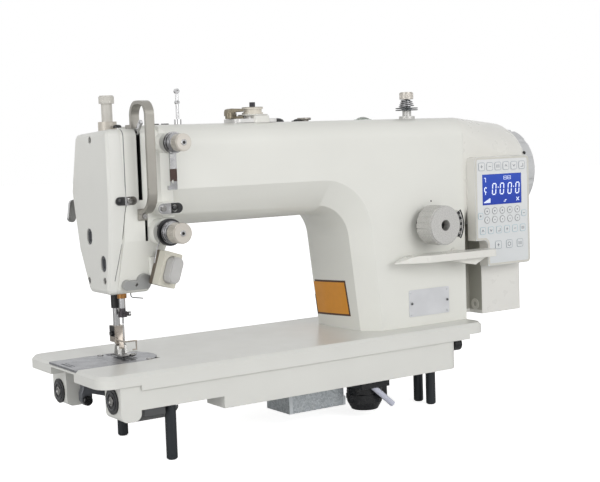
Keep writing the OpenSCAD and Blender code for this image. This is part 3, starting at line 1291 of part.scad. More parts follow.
module screws() place() color("dimgray") {
    // face plate
    for (p = face_screws) difference() {
        union() {
            rod_x(face_x + 0.9, face_x + head_sink, p[0], p[1], 2.9);
            rod_x(face_x + head_sink - 0.1, face_x + 7, p[0], p[1], 1.5);
        }
        translate([face_x, p[0] - 4, p[1] - 0.5]) cube([1.6, 8, 1]);
    }
    // needle plate
    for (p = plate_screws) difference() {
        union() {
            translate([p[0], p[1], 0]) cylinder(h = 0.7, r = 3.2);
            translate([p[0], p[1], -plate_t]) cylinder(h = plate_t + 0.1, r = 1.7);
        }
        translate([p[0] - 4, p[1] - 0.5, 0.3]) cube([8, 1, 1]);
    }
    front_screw_set();
    // lock nut of the pressure screw
    difference() {
        rod_z(arm_top - 4.6, arm_top + 5, needle_x, presser_y, screw_r + 3.8);
        rod_z(arm_top - 6, arm_top + 6, needle_x, presser_y, screw_r + move_gap);
    }
}

bed();
arm();
motor_cover();
control_box();
control_panel();
panel_display();
face_plate();
rubber_plugs();
needle_plate();
slide_plate();
feed_dog();
feed_bar();
rotary_hook();
bobbin_case();
bobbin();
hook_shaft();
bushes();
timing_belt();
main_shaft();
crank();
needle_link();
needle_bar();
needle();
take_up_lever();
take_up_guard();
presser_bar();
presser_foot();
foot_sole();
presser_spring();
pressure_screw();
lifter_lever();
pretension_unit();
pretension_nut();
tension_unit();
tension_nut();
check_spring();
thread_post();
thread_guides();
head_guard();
switch_housing();
switch_button();
winder_base();
winder_spindle();
winder_lever();
winder_tension();
winder_nut();
oil_sight();
stitch_dial();
reverse_lever();
handwheel();
motor_stator();
motor_rotor();
legs();
bed_plugs();
oil_shield();
solenoid_box();
cable_socket();
oil_tube();
nameplate();
screws();
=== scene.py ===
"""Looks of an industrial lockstitch sewing machine head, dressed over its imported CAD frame.

Places are in the machine's own millimetres: x from the bed's needle end, y from its front edge,
z up from its top face. at() and Face turn them into metres of the row frame.
"""
import math

import bmesh
import bpy
from mathutils import Matrix, Vector
from mathutils.bvhtree import BVHTree


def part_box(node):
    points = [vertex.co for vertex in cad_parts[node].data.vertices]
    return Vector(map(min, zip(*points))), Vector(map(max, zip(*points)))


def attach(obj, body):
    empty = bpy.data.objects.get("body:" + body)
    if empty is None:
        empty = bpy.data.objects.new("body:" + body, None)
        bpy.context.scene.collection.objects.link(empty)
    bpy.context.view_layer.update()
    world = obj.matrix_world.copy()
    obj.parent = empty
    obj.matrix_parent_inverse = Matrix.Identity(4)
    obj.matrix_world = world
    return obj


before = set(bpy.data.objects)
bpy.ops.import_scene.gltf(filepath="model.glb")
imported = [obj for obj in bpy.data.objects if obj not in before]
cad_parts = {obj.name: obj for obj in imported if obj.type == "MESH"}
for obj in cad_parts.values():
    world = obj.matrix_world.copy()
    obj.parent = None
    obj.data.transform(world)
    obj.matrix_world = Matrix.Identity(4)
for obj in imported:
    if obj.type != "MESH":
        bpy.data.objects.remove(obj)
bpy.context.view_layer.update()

MM = 0.001
BED_LOW, BED_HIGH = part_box("bed")
ORIGIN = Vector((BED_LOW.x, BED_LOW.y, BED_HIGH.z))
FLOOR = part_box("legs")[0].z


def at(x, y, z):
    return ORIGIN + Vector((x, y, z)) * MM


def span(node):
    """Lowest and highest corner of a CAD node in the machine's millimetres."""
    low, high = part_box(node)
    return (low - ORIGIN) / MM, (high - ORIGIN) / MM


def middle(node):
    low, high = span(node)
    return (low + high) / 2


def srgb(r, g, b):
    """Linear colour of a displayed colour given as 0 to 255."""
    def linear(c):
        c /= 255
        return c / 12.92 if c <= 0.04045 else ((c + 0.055) / 1.055) ** 2.4
    return linear(r), linear(g), linear(b), 1.0


# ---------- camera ----------
AZIMUTH, ELEVATION, ROLL = -33.885, 4.743, -1.952
TARGET = at(285.0, 89.0, 101.0)
DISTANCE = 1.3413
LENS, SENSOR = 73.35, 36.0


def make_camera():
    a, e, r = (math.radians(v) for v in (AZIMUTH, ELEVATION, ROLL))
    back = Vector((math.sin(a) * math.cos(e), -math.cos(a) * math.cos(e), math.sin(e)))
    right = (-back).cross(Vector((0, 0, 1))).normalized()
    up = right.cross(-back)
    across = right * math.cos(r) + up * math.sin(r)
    upward = up * math.cos(r) - right * math.sin(r)
    data = bpy.data.cameras.new("camera")
    data.lens, data.sensor_width = LENS, SENSOR
    data.clip_start, data.clip_end = 0.05, 50
    camera = bpy.data.objects.new("camera", data)
    bpy.context.scene.collection.objects.link(camera)
    turn = Matrix((across, upward, back)).transposed().to_4x4()
    camera.matrix_world = Matrix.Translation(TARGET + back * DISTANCE) @ turn
    bpy.context.scene.camera = camera


make_camera()


NEEDLE_X, NEEDLE_Y = middle("needle").x, middle("needle").y
SHAFT_Z = middle("main_shaft").z
ARM_TOP = span("arm")[1].z
ARM_FRONT = span("nameplate")[1].y          # plane of the arm's front
HEAD_FRONT = ARM_FRONT + 11                 # plane of the head's front, which lies further back
CHANNEL_W = 32.5                            # channel between the column and the box's face


# ---------- finishes ----------
def put(node, **values):
    """Sets a shader node's inputs; _ in a name stands for a space."""
    for name, value in values.items():
        node.inputs[name.replace("_", " ")].default_value = value


class Finish:
    """A Principled material that takes its detail from procedural textures in object space."""

    def __init__(self, name, colour, roughness, metallic=0.0, **sockets):
        self.material = bpy.data.materials.new(name)
        self.material.use_nodes = True
        self.tree = self.material.node_tree
        self.shader = self.tree.nodes["Principled BSDF"]
        self.colour = colour
        put(self.shader, Base_Color=colour, Roughness=roughness, Metallic=metallic, **sockets)
        self.place = self.node("ShaderNodeTexCoord").outputs["Object"]
        self.normal = None

    def node(self, kind, **values):
        made = self.tree.nodes.new(kind)
        for key, value in values.items():
            setattr(made, key, value)
        return made

    def link(self, source, target):
        self.tree.links.new(source, target)

    def stretched(self, stretch):
        if stretch == (1, 1, 1):
            return self.place
        mapping = self.node("ShaderNodeMapping")
        put(mapping, Scale=stretch)
        self.link(self.place, mapping.inputs["Vector"])
        return mapping.outputs["Vector"]

    def noise(self, scale, detail=3.0, stretch=(1, 1, 1)):
        """Soft noise with that many spots a metre."""
        made = self.node("ShaderNodeTexNoise")
        put(made, Scale=scale, Detail=detail)
        self.link(self.stretched(stretch), made.inputs["Vector"])
        return made.outputs["Fac"]

    def cells(self, scale):
        """Soft-edged grains, that many a metre."""
        made = self.node("ShaderNodeTexVoronoi", feature="SMOOTH_F1")
        put(made, Scale=scale)
        self.link(self.place, made.inputs["Vector"])
        return made.outputs["Distance"]

    def remap(self, source, low, high, to_low=0.0, to_high=1.0):
        made = self.node("ShaderNodeMapRange")
        put(made, From_Min=low, From_Max=high, To_Min=to_low, To_Max=to_high)
        self.link(source, made.inputs["Value"])
        return made.outputs["Result"]

    def mix(self, fac, first, second):
        """Colour between two; each is a colour or a socket."""
        made = self.node("ShaderNodeMix", data_type="RGBA")
        self.link(fac, made.inputs["Factor"])
        for socket, value in ((made.inputs["A"], first), (made.inputs["B"], second)):
            if isinstance(value, bpy.types.NodeSocket):
                self.link(value, socket)
            else:
                socket.default_value = value
        return made.outputs["Result"]

    def tint(self, fac, other, base=None):
        """Lets the colour drift towards another where fac is high."""
        self.link(self.mix(fac, base or self.colour, other), self.shader.inputs["Base Color"])

    def patch(self, colour, roughness, metallic=0.0, **limits):
        """Another finish inside limits such as y=(low, high), in the machine's millimetres."""
        mask = self.within(limits)
        base = self.shader.inputs["Base Color"]
        under = base.links[0].from_socket if base.is_linked else self.colour
        self.link(self.mix(mask, under, colour), base)
        for name, value in (("Roughness", roughness), ("Metallic", metallic)):
            socket = self.shader.inputs[name]
            made = self.node("ShaderNodeMix", data_type="FLOAT")
            self.link(mask, made.inputs[0])
            if socket.is_linked:
                self.link(socket.links[0].from_socket, made.inputs[2])
            else:
                made.inputs[2].default_value = socket.default_value
            made.inputs[3].default_value = value
            self.link(made.outputs[0], socket)

    def within(self, limits):
        """Mask that is 1 inside the limits, which may be None on one side."""
        total = None
        for name, (low, high) in limits.items():
            place = self.axis(name.upper())
            base = getattr(ORIGIN, name)
            for edge, step in ((low, 0.1), (high, -0.1)):
                if edge is None:
                    continue
                start = base + edge * MM
                side = self.remap(place, start, start + step * MM)
                if total is None:
                    total = side
                    continue
                both = self.node("ShaderNodeMath", operation="MULTIPLY")
                self.link(total, both.inputs[0])
                self.link(side, both.inputs[1])
                total = both.outputs[0]
        return total

    def mottle(self, scale, amount):
        """Light and dark drift of the colour."""
        low, high = ([min(1.0, c * (1 + s * amount)) for c in self.colour[:3]] + [1.0] for s in (-1, 1))
        self.tint(self.remap(self.noise(scale), 0.3, 0.7), high, low)

    def gloss(self, fac, low, high):
        self.link(self.remap(fac, 0.3, 0.7, low, high), self.shader.inputs["Roughness"])

    def relief(self, height, depth, strength=1.0):
        """Bump of that many millimetres."""
        bump = self.node("ShaderNodeBump")
        put(bump, Strength=strength, Distance=depth * MM)
        self.link(height, bump.inputs["Height"])
        if self.normal:
            self.link(self.normal, bump.inputs["Normal"])
        self.bend(bump)

    def soften(self, radius):
        """Rounds the look of sharp edges by that many millimetres; comes before relief()."""
        bevel = self.node("ShaderNodeBevel", samples=4)
        put(bevel, Radius=radius * MM)
        self.bend(bevel)

    def bend(self, node):
        """Takes the surface's normal from a node."""
        self.normal = node.outputs["Normal"]
        self.link(self.normal, self.shader.inputs["Normal"])

    def axis(self, name):
        """One object-space coordinate in metres."""
        split = self.node("ShaderNodeSeparateXYZ")
        self.link(self.place, split.inputs["Vector"])
        return split.outputs[name]


# Kinds of surface.
def plastic(name, colour, roughness=0.3, coat=(0.15, 0.15), drift=0.015):
    """Moulded plastic with a fine grain."""
    made = Finish(name, colour, roughness, Coat_Weight=coat[0], Coat_Roughness=coat[1])
    made.mottle(14, drift)
    made.gloss(made.noise(80), roughness - 0.04, roughness + 0.04)
    made.soften(0.6)
    made.relief(made.noise(1400, 2), 0.012, 0.5)
    return made


def brushed(name, colour, roughness, stretch=(1, 1, 12), scale=260):
    """Metal with fine lines across the stretched direction."""
    made = Finish(name, colour, roughness, 1.0)
    lines = made.noise(scale, 4, stretch)
    dark = tuple(0.72 * c for c in colour[:3]) + (1.0,)
    made.tint(made.remap(lines, 0.35, 0.7), colour, dark)
    made.gloss(made.noise(90), roughness * 0.8, roughness * 1.25)
    made.soften(0.25)
    made.relief(lines, 0.02, 0.5)
    return made


def plated(name, colour, roughness):
    """Bright plating with a faint cloudiness."""
    made = Finish(name, colour, roughness, 1.0)
    dark = tuple(0.8 * c for c in colour[:3]) + (1.0,)
    made.tint(made.remap(made.noise(70, 4), 0.35, 0.65), colour, dark)
    made.gloss(made.noise(150), roughness * 0.7, roughness * 1.4)
    made.soften(0.2)
    made.relief(made.noise(500, 3), 0.01, 0.4)
    return made


def satin(name, colour, roughness=0.42, metallic=0.75):
    """Bead-blasted and coated metal, or with metallic at 0 a matt plastic."""
    made = Finish(name, colour, roughness, metallic)
    made.mottle(40, 0.05)
    made.gloss(made.noise(120), roughness * 0.85, roughness * 1.15)
    made.soften(0.3)
    made.relief(made.noise(1800, 2), 0.02, 0.6)
    return made


def rubber(name, colour, roughness=0.5):
    made = Finish(name, colour, roughness)
    made.mottle(60, 0.15)
    made.gloss(made.noise(200), roughness * 0.8, roughness * 1.2)
    made.soften(0.4)
    made.relief(made.noise(1200, 3), 0.02, 0.6)
    return made


def printed(name, colour, roughness=0.35, emission=0.0):
    """Flat print with a slight unevenness of the ink."""
    made = Finish(name, colour, roughness)
    made.mottle(160, 0.03)
    if emission:
        put(made.shader, Emission_Color=colour, Emission_Strength=emission)
    made.relief(made.noise(2500, 2), 0.004, 0.3)
    return made


# Finishes of single nodes.
def enamel():
    """Off-white baked enamel with a fine leather grain."""
    made = Finish("enamel", srgb(225, 225, 219), 0.38, Coat_Weight=0.15, Coat_Roughness=0.25)
    made.mottle(9, 0.022)
    made.gloss(made.noise(60), 0.34, 0.44)
    # painted shade: near-black insides of the two take-up slots; and the dark joint under the face plate's
    # edge
    slots = (((NEEDLE_X, NEEDLE_X + 5), (SHAFT_Z - 8, ARM_TOP - 6)),
             ((NEEDLE_X + 5.5, NEEDLE_X + 9), (SHAFT_Z - 48, SHAFT_Z - 16)))
    for x, z in slots:
        made.patch(srgb(26, 26, 26), 0.6, x=x, y=(HEAD_FRONT + 1.2, HEAD_FRONT + 20), z=z)
    joint = span("face_plate")[1].x
    made.patch(srgb(118, 119, 121), 0.5, x=(joint - 0.6, joint + 0.5), z=(SHAFT_Z - 13, None), y=(None, 100))
    made.soften(0.8)
    made.relief(made.cells(420), 0.05, 0.4)
    made.relief(made.noise(900, 2), 0.02, 0.4)
    return made


def gloss_enamel():
    """The same paint sprayed smooth, on the bed's top and the face plate."""
    made = Finish("gloss_enamel", srgb(218, 218, 213), 0.36, Coat_Weight=0.2, Coat_Roughness=0.22)
    made.mottle(12, 0.02)
    made.gloss(made.noise(45), 0.32, 0.42)
    made.soften(0.7)
    made.relief(made.noise(200, 2), 0.02, 0.25)
    return made


def box_finish():
    """White plastic of the control box, with painted shade in the channel beside the column."""
    made = plastic("box_plastic", srgb(226, 225, 220))
    low, high = span("control_box")
    # painted shade: the channel between the column and the box's face is painted darker
    made.patch(srgb(168, 167, 158), 0.4, x=(low.x - 1, low.x + CHANNEL_W + 0.3), y=(low.y + 0.8, high.y - 20),
               z=(low.z + 4, None))
    return made


def galvanised():
    """Zinc-coated sheet with its spangle."""
    made = Finish("galvanised", srgb(186, 192, 196), 0.38, 0.85)
    flakes = made.node("ShaderNodeTexVoronoi")
    put(flakes, Scale=620)
    made.link(made.place, flakes.inputs["Vector"])
    tone = made.node("ShaderNodeSeparateXYZ")
    made.link(flakes.outputs["Color"], tone.inputs["Vector"])
    made.tint(made.remap(tone.outputs["X"], 0, 1), srgb(200, 205, 208), srgb(164, 170, 174))
    made.gloss(made.remap(tone.outputs["Y"], 0, 1, 0.3, 0.7), 0.3, 0.46)
    made.soften(0.4)
    return made


def panel_finish():
    """Ivory case of the control panel; its front is a grey membrane, a little darker low down."""
    low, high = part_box("control_panel")
    made = Finish("panel_case", srgb(222, 220, 214), 0.36)
    front = made.remap(made.axis("Y"), low.y + 0.9 * MM, low.y + 1.1 * MM, 1.0, 0.0)
    fall = made.remap(made.axis("Z"), low.z, high.z)
    membrane = made.mix(fall, srgb(216, 219, 220), srgb(225, 226, 226))
    case = made.mix(made.remap(made.noise(14), 0.3, 0.7), srgb(220, 218, 212), srgb(226, 225, 220))
    made.link(made.mix(front, case, membrane), made.shader.inputs["Base Color"])
    made.gloss(made.noise(100), 0.32, 0.42)
    made.soften(0.5)
    made.relief(made.noise(1500, 2), 0.008, 0.4)
    return made


def display_finish():
    """Lit blue liquid-crystal glass, lighter at its top."""
    low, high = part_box("panel_display")
    made = Finish("display", srgb(48, 74, 168), 0.3, Specular_IOR_Level=0.2)
    made.tint(made.remap(made.axis("Z"), low.z, high.z), srgb(54, 82, 178), srgb(44, 66, 160))
    put(made.shader, Emission_Color=srgb(50, 76, 190), Emission_Strength=0.12)
    made.relief(made.noise(2200, 2), 0.003, 0.3)
    return made


def sight_glass():
    made = Finish("sight_glass", srgb(214, 222, 214), 0.08, Transmission_Weight=0.75, IOR=1.46)
    made.mottle(30, 0.04)
    made.gloss(made.noise(60), 0.05, 0.12)
    return made


def clear_tube():
    made = Finish("clear_tube", srgb(226, 228, 242), 0.12, Transmission_Weight=0.35, IOR=1.45)
    made.mottle(90, 0.05)
    made.gloss(made.noise(300), 0.1, 0.2)
    return made


def foot_finish():
    """Nickel presser foot with a black clamp screw."""
    made = plated("foot_nickel", srgb(170, 162, 153), 0.3)
    made.patch(srgb(30, 30, 32), 0.35, 0.3, x=(None, NEEDLE_X - 5.4), z=(20, None))
    return made


def winder_post_finish():
    """Dark discs on a light foot."""
    made = satin("winder_post", srgb(84, 86, 88), 0.3, 0.9)
    made.patch(srgb(200, 199, 196), 0.35, 0.3, z=(None, ARM_TOP + 9))
    return made


def screw_finish():
    """Nickel screws; the lock nut of the pressure screw is champagne."""
    made = plated("screw_nickel", srgb(150, 149, 147), 0.24)
    made.patch(srgb(196, 190, 180), 0.4, 0.3, z=(ARM_TOP - 5, None))
    return made


def guide_finish():
    """Chromed guides with a blackened end each."""
    made = plated("guide_chrome", srgb(196, 196, 197), 0.14)
    for end in ((None, NEEDLE_X - 15), (span("thread_guides")[1].x - 13, None)):
        made.patch(srgb(34, 34, 35), 0.35, 0.3, x=end)
    return made


def bush_finish():
    """Brass bushes; the presser bar's lower one is black."""
    made = Finish("bush_brass", srgb(160, 116, 70), 0.32, 1.0)
    made.mottle(60, 0.1)
    made.soften(0.2)
    made.patch(srgb(30, 30, 31), 0.4, 0.2, y=(NEEDLE_Y + 7.2, None), z=(None, 90), x=(None, NEEDLE_X + 12))
    return made


def bar_finish():
    """Ground needle bar with a dark clamp."""
    made = plated("bar_chrome", srgb(196, 196, 197), 0.16)
    made.patch(srgb(76, 72, 75), 0.34, 0.85, x=(None, NEEDLE_X + 6), z=(None, middle("needle_bar").z - 80))
    return made


def tension_finish(name, dark):
    """Chromed tension, with painted shade on the discs where they lie between the other parts."""
    made = plated(name, srgb(188, 188, 189), 0.16)
    # painted shade on the discs
    made.patch(srgb(66, 66, 68), 0.28, 0.9, y=dark)
    low, high = span(name + "_unit")
    if high.z - low.z > 40:                        # painted reflection: a dark red-brown band across the middle of the polished hanging guide
        made.patch(srgb(84, 70, 66), 0.2, 0.9, z=(low.z + 8, low.z + 20), y=(21, 24))
    return made


def switch_finish():
    """Cream housing on a brown back plate."""
    made = satin("switch_case", srgb(206, 203, 190), 0.4, 0.0)
    made.patch(srgb(92, 82, 70), 0.45, y=(span("switch_housing")[1].y - 7, None))
    return made


def plug_finish():
    """Rubber plugs: dark rubber shown grey with painted sheen on the face plate, black on the arm's top."""
    made = Finish("plug_rubber", srgb(78, 80, 83), 0.38)
    made.mottle(60, 0.12)
    made.soften(0.4)
    made.patch(srgb(26, 26, 28), 0.4, z=(ARM_TOP - 6, None))
    made.relief(made.noise(1200, 3), 0.02, 0.6)
    return made


def spindle_finish():
    """Ivory bobbin wheel with a dark rim and a black knob."""
    made = satin("winder_ivory", srgb(214, 208, 196), 0.4, 0.0)
    made.patch(srgb(150, 144, 134), 0.4, 0.3, z=(ARM_TOP + 15.2, ARM_TOP + 16.2))
    made.patch(srgb(46, 44, 50), 0.4, 0.3, z=(ARM_TOP + 16.2, None))
    return made


def dial_finish():
    """Speckled grey casting of the stitch dial."""
    made = Finish("dial_grey", srgb(176, 175, 172), 0.42, 0.35)
    made.tint(made.remap(made.noise(900, 2), 0.35, 0.7), srgb(206, 205, 202), srgb(182, 181, 178))
    made.gloss(made.noise(120), 0.38, 0.5)
    made.soften(0.5)
    made.relief(made.noise(1500, 2), 0.03, 0.6)
    return made


GLOSS_ENAMEL = gloss_enamel()
PLASTIC = plastic("white_plastic", srgb(224, 223, 217))
CHROME = plated("chrome", srgb(196, 196, 197), 0.15)
NICKEL = plated("nickel", srgb(158, 157, 155), 0.24)
STEEL = brushed("ground_steel", srgb(176, 176, 178), 0.28)
PLATE_STEEL = brushed("plate_steel", srgb(158, 159, 163), 0.38, (12, 1, 1), 300)
CHAMPAGNE = satin("champagne_satin", srgb(142, 138, 132), 0.36)
NUT_SATIN = satin("nut_satin", srgb(190, 185, 177), 0.34, 0.55)
BRONZE = satin("bronze", srgb(128, 120, 104), 0.36, 0.7)
DARK_STEEL = satin("dark_steel", srgb(96, 97, 98), 0.36, 0.9)
GREY_CAST = satin("grey_casting", srgb(126, 128, 126), 0.5, 0.5)
BLACK_RUBBER = rubber("black_rubber", srgb(34, 35, 37))
BLACK_PLASTIC = rubber("black_plastic", srgb(17, 18, 21), 0.3)
# painted shade: flat black stands for the dark inside of holes, bores and recesses
PAINTED_HOLE_SHADE = rubber("painted_hole_shade", srgb(18, 18, 18), 0.7)
LCD_WHITE = printed("lcd_white", srgb(226, 234, 250), 0.3, 0.35)
KEY_LINE = printed("key_line", srgb(150, 160, 168))
KEY_TEAL = printed("key_teal", srgb(164, 194, 204))
KEY_DARK = printed("key_dark", srgb(120, 122, 126))
KEY_MARK = printed("key_mark", srgb(96, 104, 114))
AMBER = printed("amber_label", srgb(214, 142, 36), 0.4)
BROWN = printed("brown_print", srgb(74, 46, 22), 0.4)
IVORY = printed("ivory_rim", srgb(206, 204, 196), 0.4)
WHITE_PRINT = printed("white_print", srgb(232, 231, 226), 0.4)
END_CAST = satin("end_casting", srgb(100, 102, 107), 0.42, 0.3)
FOLD_ZINC = satin("fold_zinc", srgb(212, 217, 220), 0.4, 0.2)
PLUG_GLOSS = satin("plug_gloss", srgb(62, 63, 66), 0.2, 0.6)

NODE_FINISH = {
    "bed": GLOSS_ENAMEL, "arm": enamel(), "face_plate": GLOSS_ENAMEL, "motor_cover": PLASTIC,
    "control_box": box_finish(), "reverse_lever": PLASTIC, "control_panel": panel_finish(),
    "panel_display": display_finish(), "rubber_plugs": plug_finish(), "needle_plate": PLATE_STEEL,
    "slide_plate": PLATE_STEEL, "feed_dog": STEEL, "feed_bar": DARK_STEEL, "rotary_hook": CHROME,
    "bobbin_case": CHROME, "bobbin": STEEL, "hook_shaft": STEEL, "bushes": bush_finish(),
    "timing_belt": BLACK_RUBBER, "main_shaft": STEEL, "crank": GREY_CAST, "needle_link": DARK_STEEL,
    "needle_bar": bar_finish(), "needle": CHROME, "take_up_lever": CHROME,
    "take_up_guard": satin("guard_satin", srgb(152, 149, 142), 0.32, 0.4),
    "presser_bar": CHROME, "presser_foot": foot_finish(), "foot_sole": NICKEL, "presser_spring": STEEL,
    "pressure_screw": printed("pressure_satin", srgb(200, 197, 190), 0.42), "lifter_lever": CHROME,
    "pretension_unit": tension_finish("pretension", (17.2, 20.1)), "pretension_nut": NUT_SATIN,
    "tension_unit": tension_finish("tension", (16.8, 22.2)), "tension_nut": NUT_SATIN,
    "check_spring": STEEL, "thread_post": CHROME, "thread_guides": guide_finish(),
    "head_guard": satin("head_grey", srgb(166, 167, 166), 0.34, 0.45),
    "switch_housing": switch_finish(), "switch_button": satin("grey_plastic", srgb(184, 183, 181), 0.38, 0.0),
    "winder_base": satin("winder_white", srgb(216, 215, 213), 0.3, 0.2), "winder_spindle": spindle_finish(),
    "winder_lever": BRONZE, "winder_tension": winder_post_finish(), "winder_nut": NUT_SATIN,
    "oil_sight": sight_glass(), "stitch_dial": dial_finish(),
    "handwheel": plastic("wheel_grey", srgb(198, 199, 200), 0.34, (0.1, 0.2), 0.03),
    "motor_stator": GREY_CAST, "motor_rotor": DARK_STEEL,
    "legs": satin("leg_paint", srgb(42, 46, 50), 0.38, 0.35), "bed_plugs": BLACK_PLASTIC,
    "oil_shield": DARK_STEEL, "solenoid_box": galvanised(), "cable_socket": BLACK_PLASTIC,
    "oil_tube": clear_tube(), "nameplate": satin("plate_silver", srgb(212, 213, 216), 0.4, 0.3),
    "screws": screw_finish(),
}


def dress_nodes():
    """Gives each CAD node its finish, and smooth shading over its rounded faces."""
    for name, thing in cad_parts.items():
        thing.data.materials.clear()
        thing.data.materials.append(NODE_FINISH[name].material)
        for polygon in thing.data.polygons:
            polygon.use_smooth = True
        weld = thing.modifiers.new("weld", "WELD")
        weld.merge_threshold = 0.002 * MM
        split = thing.modifiers.new("split", "EDGE_SPLIT")
        split.split_angle = math.radians(32)
        weight = thing.modifiers.new("weight", "WEIGHTED_NORMAL")
        weight.keep_sharp = True


dress_nodes()


# ---------- shapes ----------
FRONTWARD, NEEDLEWARD, UPWARD = (0, -1, 0), (-1, 0, 0), (0, 0, 1)      # axes of turned solids


class Face:
    """A flat place on the machine: a to the right, b up and c outwards, in mm from its origin."""
    AXES = {"front": ((1, 0, 0), (0, 0, 1)), "left": ((0, -1, 0), (0, 0, 1)), "top": ((1, 0, 0), (0, 1, 0))}

    def __init__(self, side, x, y, z, tilt=0.0):
        right, up = (Vector(v) for v in self.AXES[side])
        t = math.radians(tilt)
        self.right = right * math.cos(t) + up * math.sin(t)
        self.up = up * math.cos(t) - right * math.sin(t)
        self.out = right.cross(up)
        self.origin = at(x, y, z)

    def point(self, a, b, c=0.0):
        return self.origin + (self.right * a + self.up * b + self.out * c) * MM


def surface_of(node):
    """Searchable surface of a CAD node."""
    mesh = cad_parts[node].data
    return BVHTree.FromPolygons([v.co for v in mesh.vertices], [tuple(p.vertices) for p in mesh.polygons])


class Build:
    """Collects closed solids into one mesh piece; each shape returns the Build for the next."""

    def __init__(self):
        self.bm = bmesh.new()

    def row(self, points):
        return [self.bm.verts.new(p) for p in points]

    def join(self, low, high):
        """Faces between two closed rows of vertices; a row of one is a tip."""
        n = max(len(low), len(high))
        for i in range(n):
            j = (i + 1) % n
            corners = (low[i % len(low)], low[j % len(low)], high[j % len(high)], high[i % len(high)])
            self.bm.faces.new(list(dict.fromkeys(corners)))

    def skin(self, rings):
        """Joins rings of points into a solid with closed ends."""
        rows = [self.row(ring) for ring in rings]
        for low, high in zip(rows, rows[1:]):
            self.join(low, high)
        for row in (rows[0][::-1], rows[-1]):
            if len(row) > 2:
                self.bm.faces.new(row)
        return self

    def plate(self, face, outline, thick, base=0.0, edge=0.0):
        """An outline of (a, b) points raised from base by thick, with its top edge drawn in by edge."""
        rings = [[face.point(a, b, c) for a, b in shape] for shape, c in (
            (outline, base), (outline, base + thick - edge), (inset(outline, edge), base + thick))]
        return self.skin(rings if edge else rings[::2])

    def ribbon(self, face, path, width, thick, base=0.0, closed=False):
        """A flat line of even width along (a, b) points."""
        left, right = offsets(path, width / 2, closed)
        if not closed:
            return self.plate(face, right + left[::-1], thick, base)
        rows = [self.row(face.point(*p, c) for p in side) for side, c in (
            (right, base), (left, base), (left, base + thick), (right, base + thick))]
        for low, high in zip(rows, rows[1:] + rows[:1]):
            self.join(low, high)
        return self

    def sheet(self, node, face, across, upward, lift, thick=0.3, steps=12):
        """A thin skin laid on a node's surface, over a rectangle seen along the face."""
        surface = surface_of(node)
        rings = []
        for j in range(steps + 1):
            high, low = [], []
            for i in range(steps + 1):
                start = face.point(across[0] + (across[1] - across[0]) * i / steps,
                                   upward[0] + (upward[1] - upward[0]) * j / steps)
                hit = surface.ray_cast(start, -face.out)[0]
                high.append(hit + face.out * lift * MM)
                low.append(hit + face.out * (lift - thick) * MM)
            rings.append(high + low[::-1])
        return self.skin(rings)

    def lathe(self, centre, axis, profile, sides=48):
        """A turned solid: profile of (radius, height) in mm along axis from centre (mm)."""
        axis, across, other = axes_from(axis)
        start = at(*centre)
        rings = []
        for r, h in profile:
            base = start + axis * h * MM
            round_points = disc(0, 0, r, sides) if r else [(0, 0)]
            rings.append([base + (across * a + other * b) * MM for a, b in round_points])
        return self.skin(rings)

    def tube(self, path, radius, sides=10):
        """Round wire along points in the machine's mm."""
        points = [at(*p) for p in path]
        rings = []
        side = None
        for i, p in enumerate(points):
            along = (points[min(i + 1, len(points) - 1)] - points[max(i - 1, 0)]).normalized()
            side = along.orthogonal() if side is None else side - along * side.dot(along)
            side.normalize()
            other = along.cross(side)
            rings.append([p + (side * a + other * b) * MM for a, b in disc(0, 0, radius, sides)])
        return self.skin(rings)

    def done(self, name, body, finish, slot):
        """Makes the piece, lets it ride on its body and gives it its finish."""
        bmesh.ops.recalc_face_normals(self.bm, faces=self.bm.faces)
        mesh = bpy.data.meshes.new(name)
        self.bm.to_mesh(mesh)
        self.bm.free()
        mesh.materials.append(finish.material)
        mesh.shade_smooth()
        mesh.set_sharp_from_angle(angle=math.radians(35))
        thing = bpy.data.objects.new(name, mesh)
        bpy.context.scene.collection.objects.link(thing)
        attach(thing, body)


def flat_end(radius, thick):
    """Profile of a plain round end for lathe()."""
    return [(0, 0), (radius, 0), (radius, thick), (0, thick)]


def axes_from(axis):
    """The axis and two directions across it."""
    axis = Vector(axis).normalized()
    across = axis.orthogonal().normalized()
    return axis, across, axis.cross(across)


def offsets(path, half, closed):
    """The two sides of a line of even width, with mitred corners."""
    n = len(path)
    left, right = [], []
    for i, (x, y) in enumerate(path):
        before = path[i - 1] if closed or i else None
        after = path[(i + 1) % n] if closed or i < n - 1 else None
        steps = []
        for p, q in ((before, (x, y)), ((x, y), after)):
            if p is None or q is None:
                continue
            d = math.hypot(q[0] - p[0], q[1] - p[1]) or 1.0
            steps.append(((q[0] - p[0]) / d, (q[1] - p[1]) / d))
        nx = -sum(s[1] for s in steps) / len(steps)
        ny = sum(s[0] for s in steps) / len(steps)
        size = nx * nx + ny * ny
        nx, ny = nx / max(size, 0.35), ny / max(size, 0.35)
        left.append((x + nx * half, y + ny * half))
        right.append((x - nx * half, y - ny * half))
    return left, right


def inset(outline, by):
    """The outline drawn in by that much; points run anticlockwise."""
    return offsets(outline, by, True)[0] if by else outline


def round_rect(a, b, w, h, r, steps=6):
    """Anticlockwise outline of a rectangle with round corners; a, b is its lower left corner."""
    points = []
    for cx, cy, start in ((a + w - r, b + r, -90), (a + w - r, b + h - r, 0), (a + r, b + h - r, 90),
                          (a + r, b + r, 180)):
        for k in range(steps + 1):
            t = math.radians(start + 90 * k / steps)
            points.append((cx + r * math.cos(t), cy + r * math.sin(t)))
    return points


def disc(a, b, r, sides=32):
    turns = (2 * math.pi * k / sides for k in range(sides))
    return [(a + r * math.cos(t), b + r * math.sin(t)) for t in turns]


def arc(radius, start, end, steps=20):
    """Points of an arc round the origin, angles in degrees."""
    turns = (math.radians(start + (end - start) * k / steps) for k in range(steps + 1))
    return [(radius * math.cos(t), radius * math.sin(t)) for t in turns]


def pill(a, b, w, h, steps=10):
    """Anticlockwise outline of a slot shape centred at a, b."""
    return round_rect(a - w / 2, b - h / 2, w, h, min(w, h) / 2 - 0.001, steps)


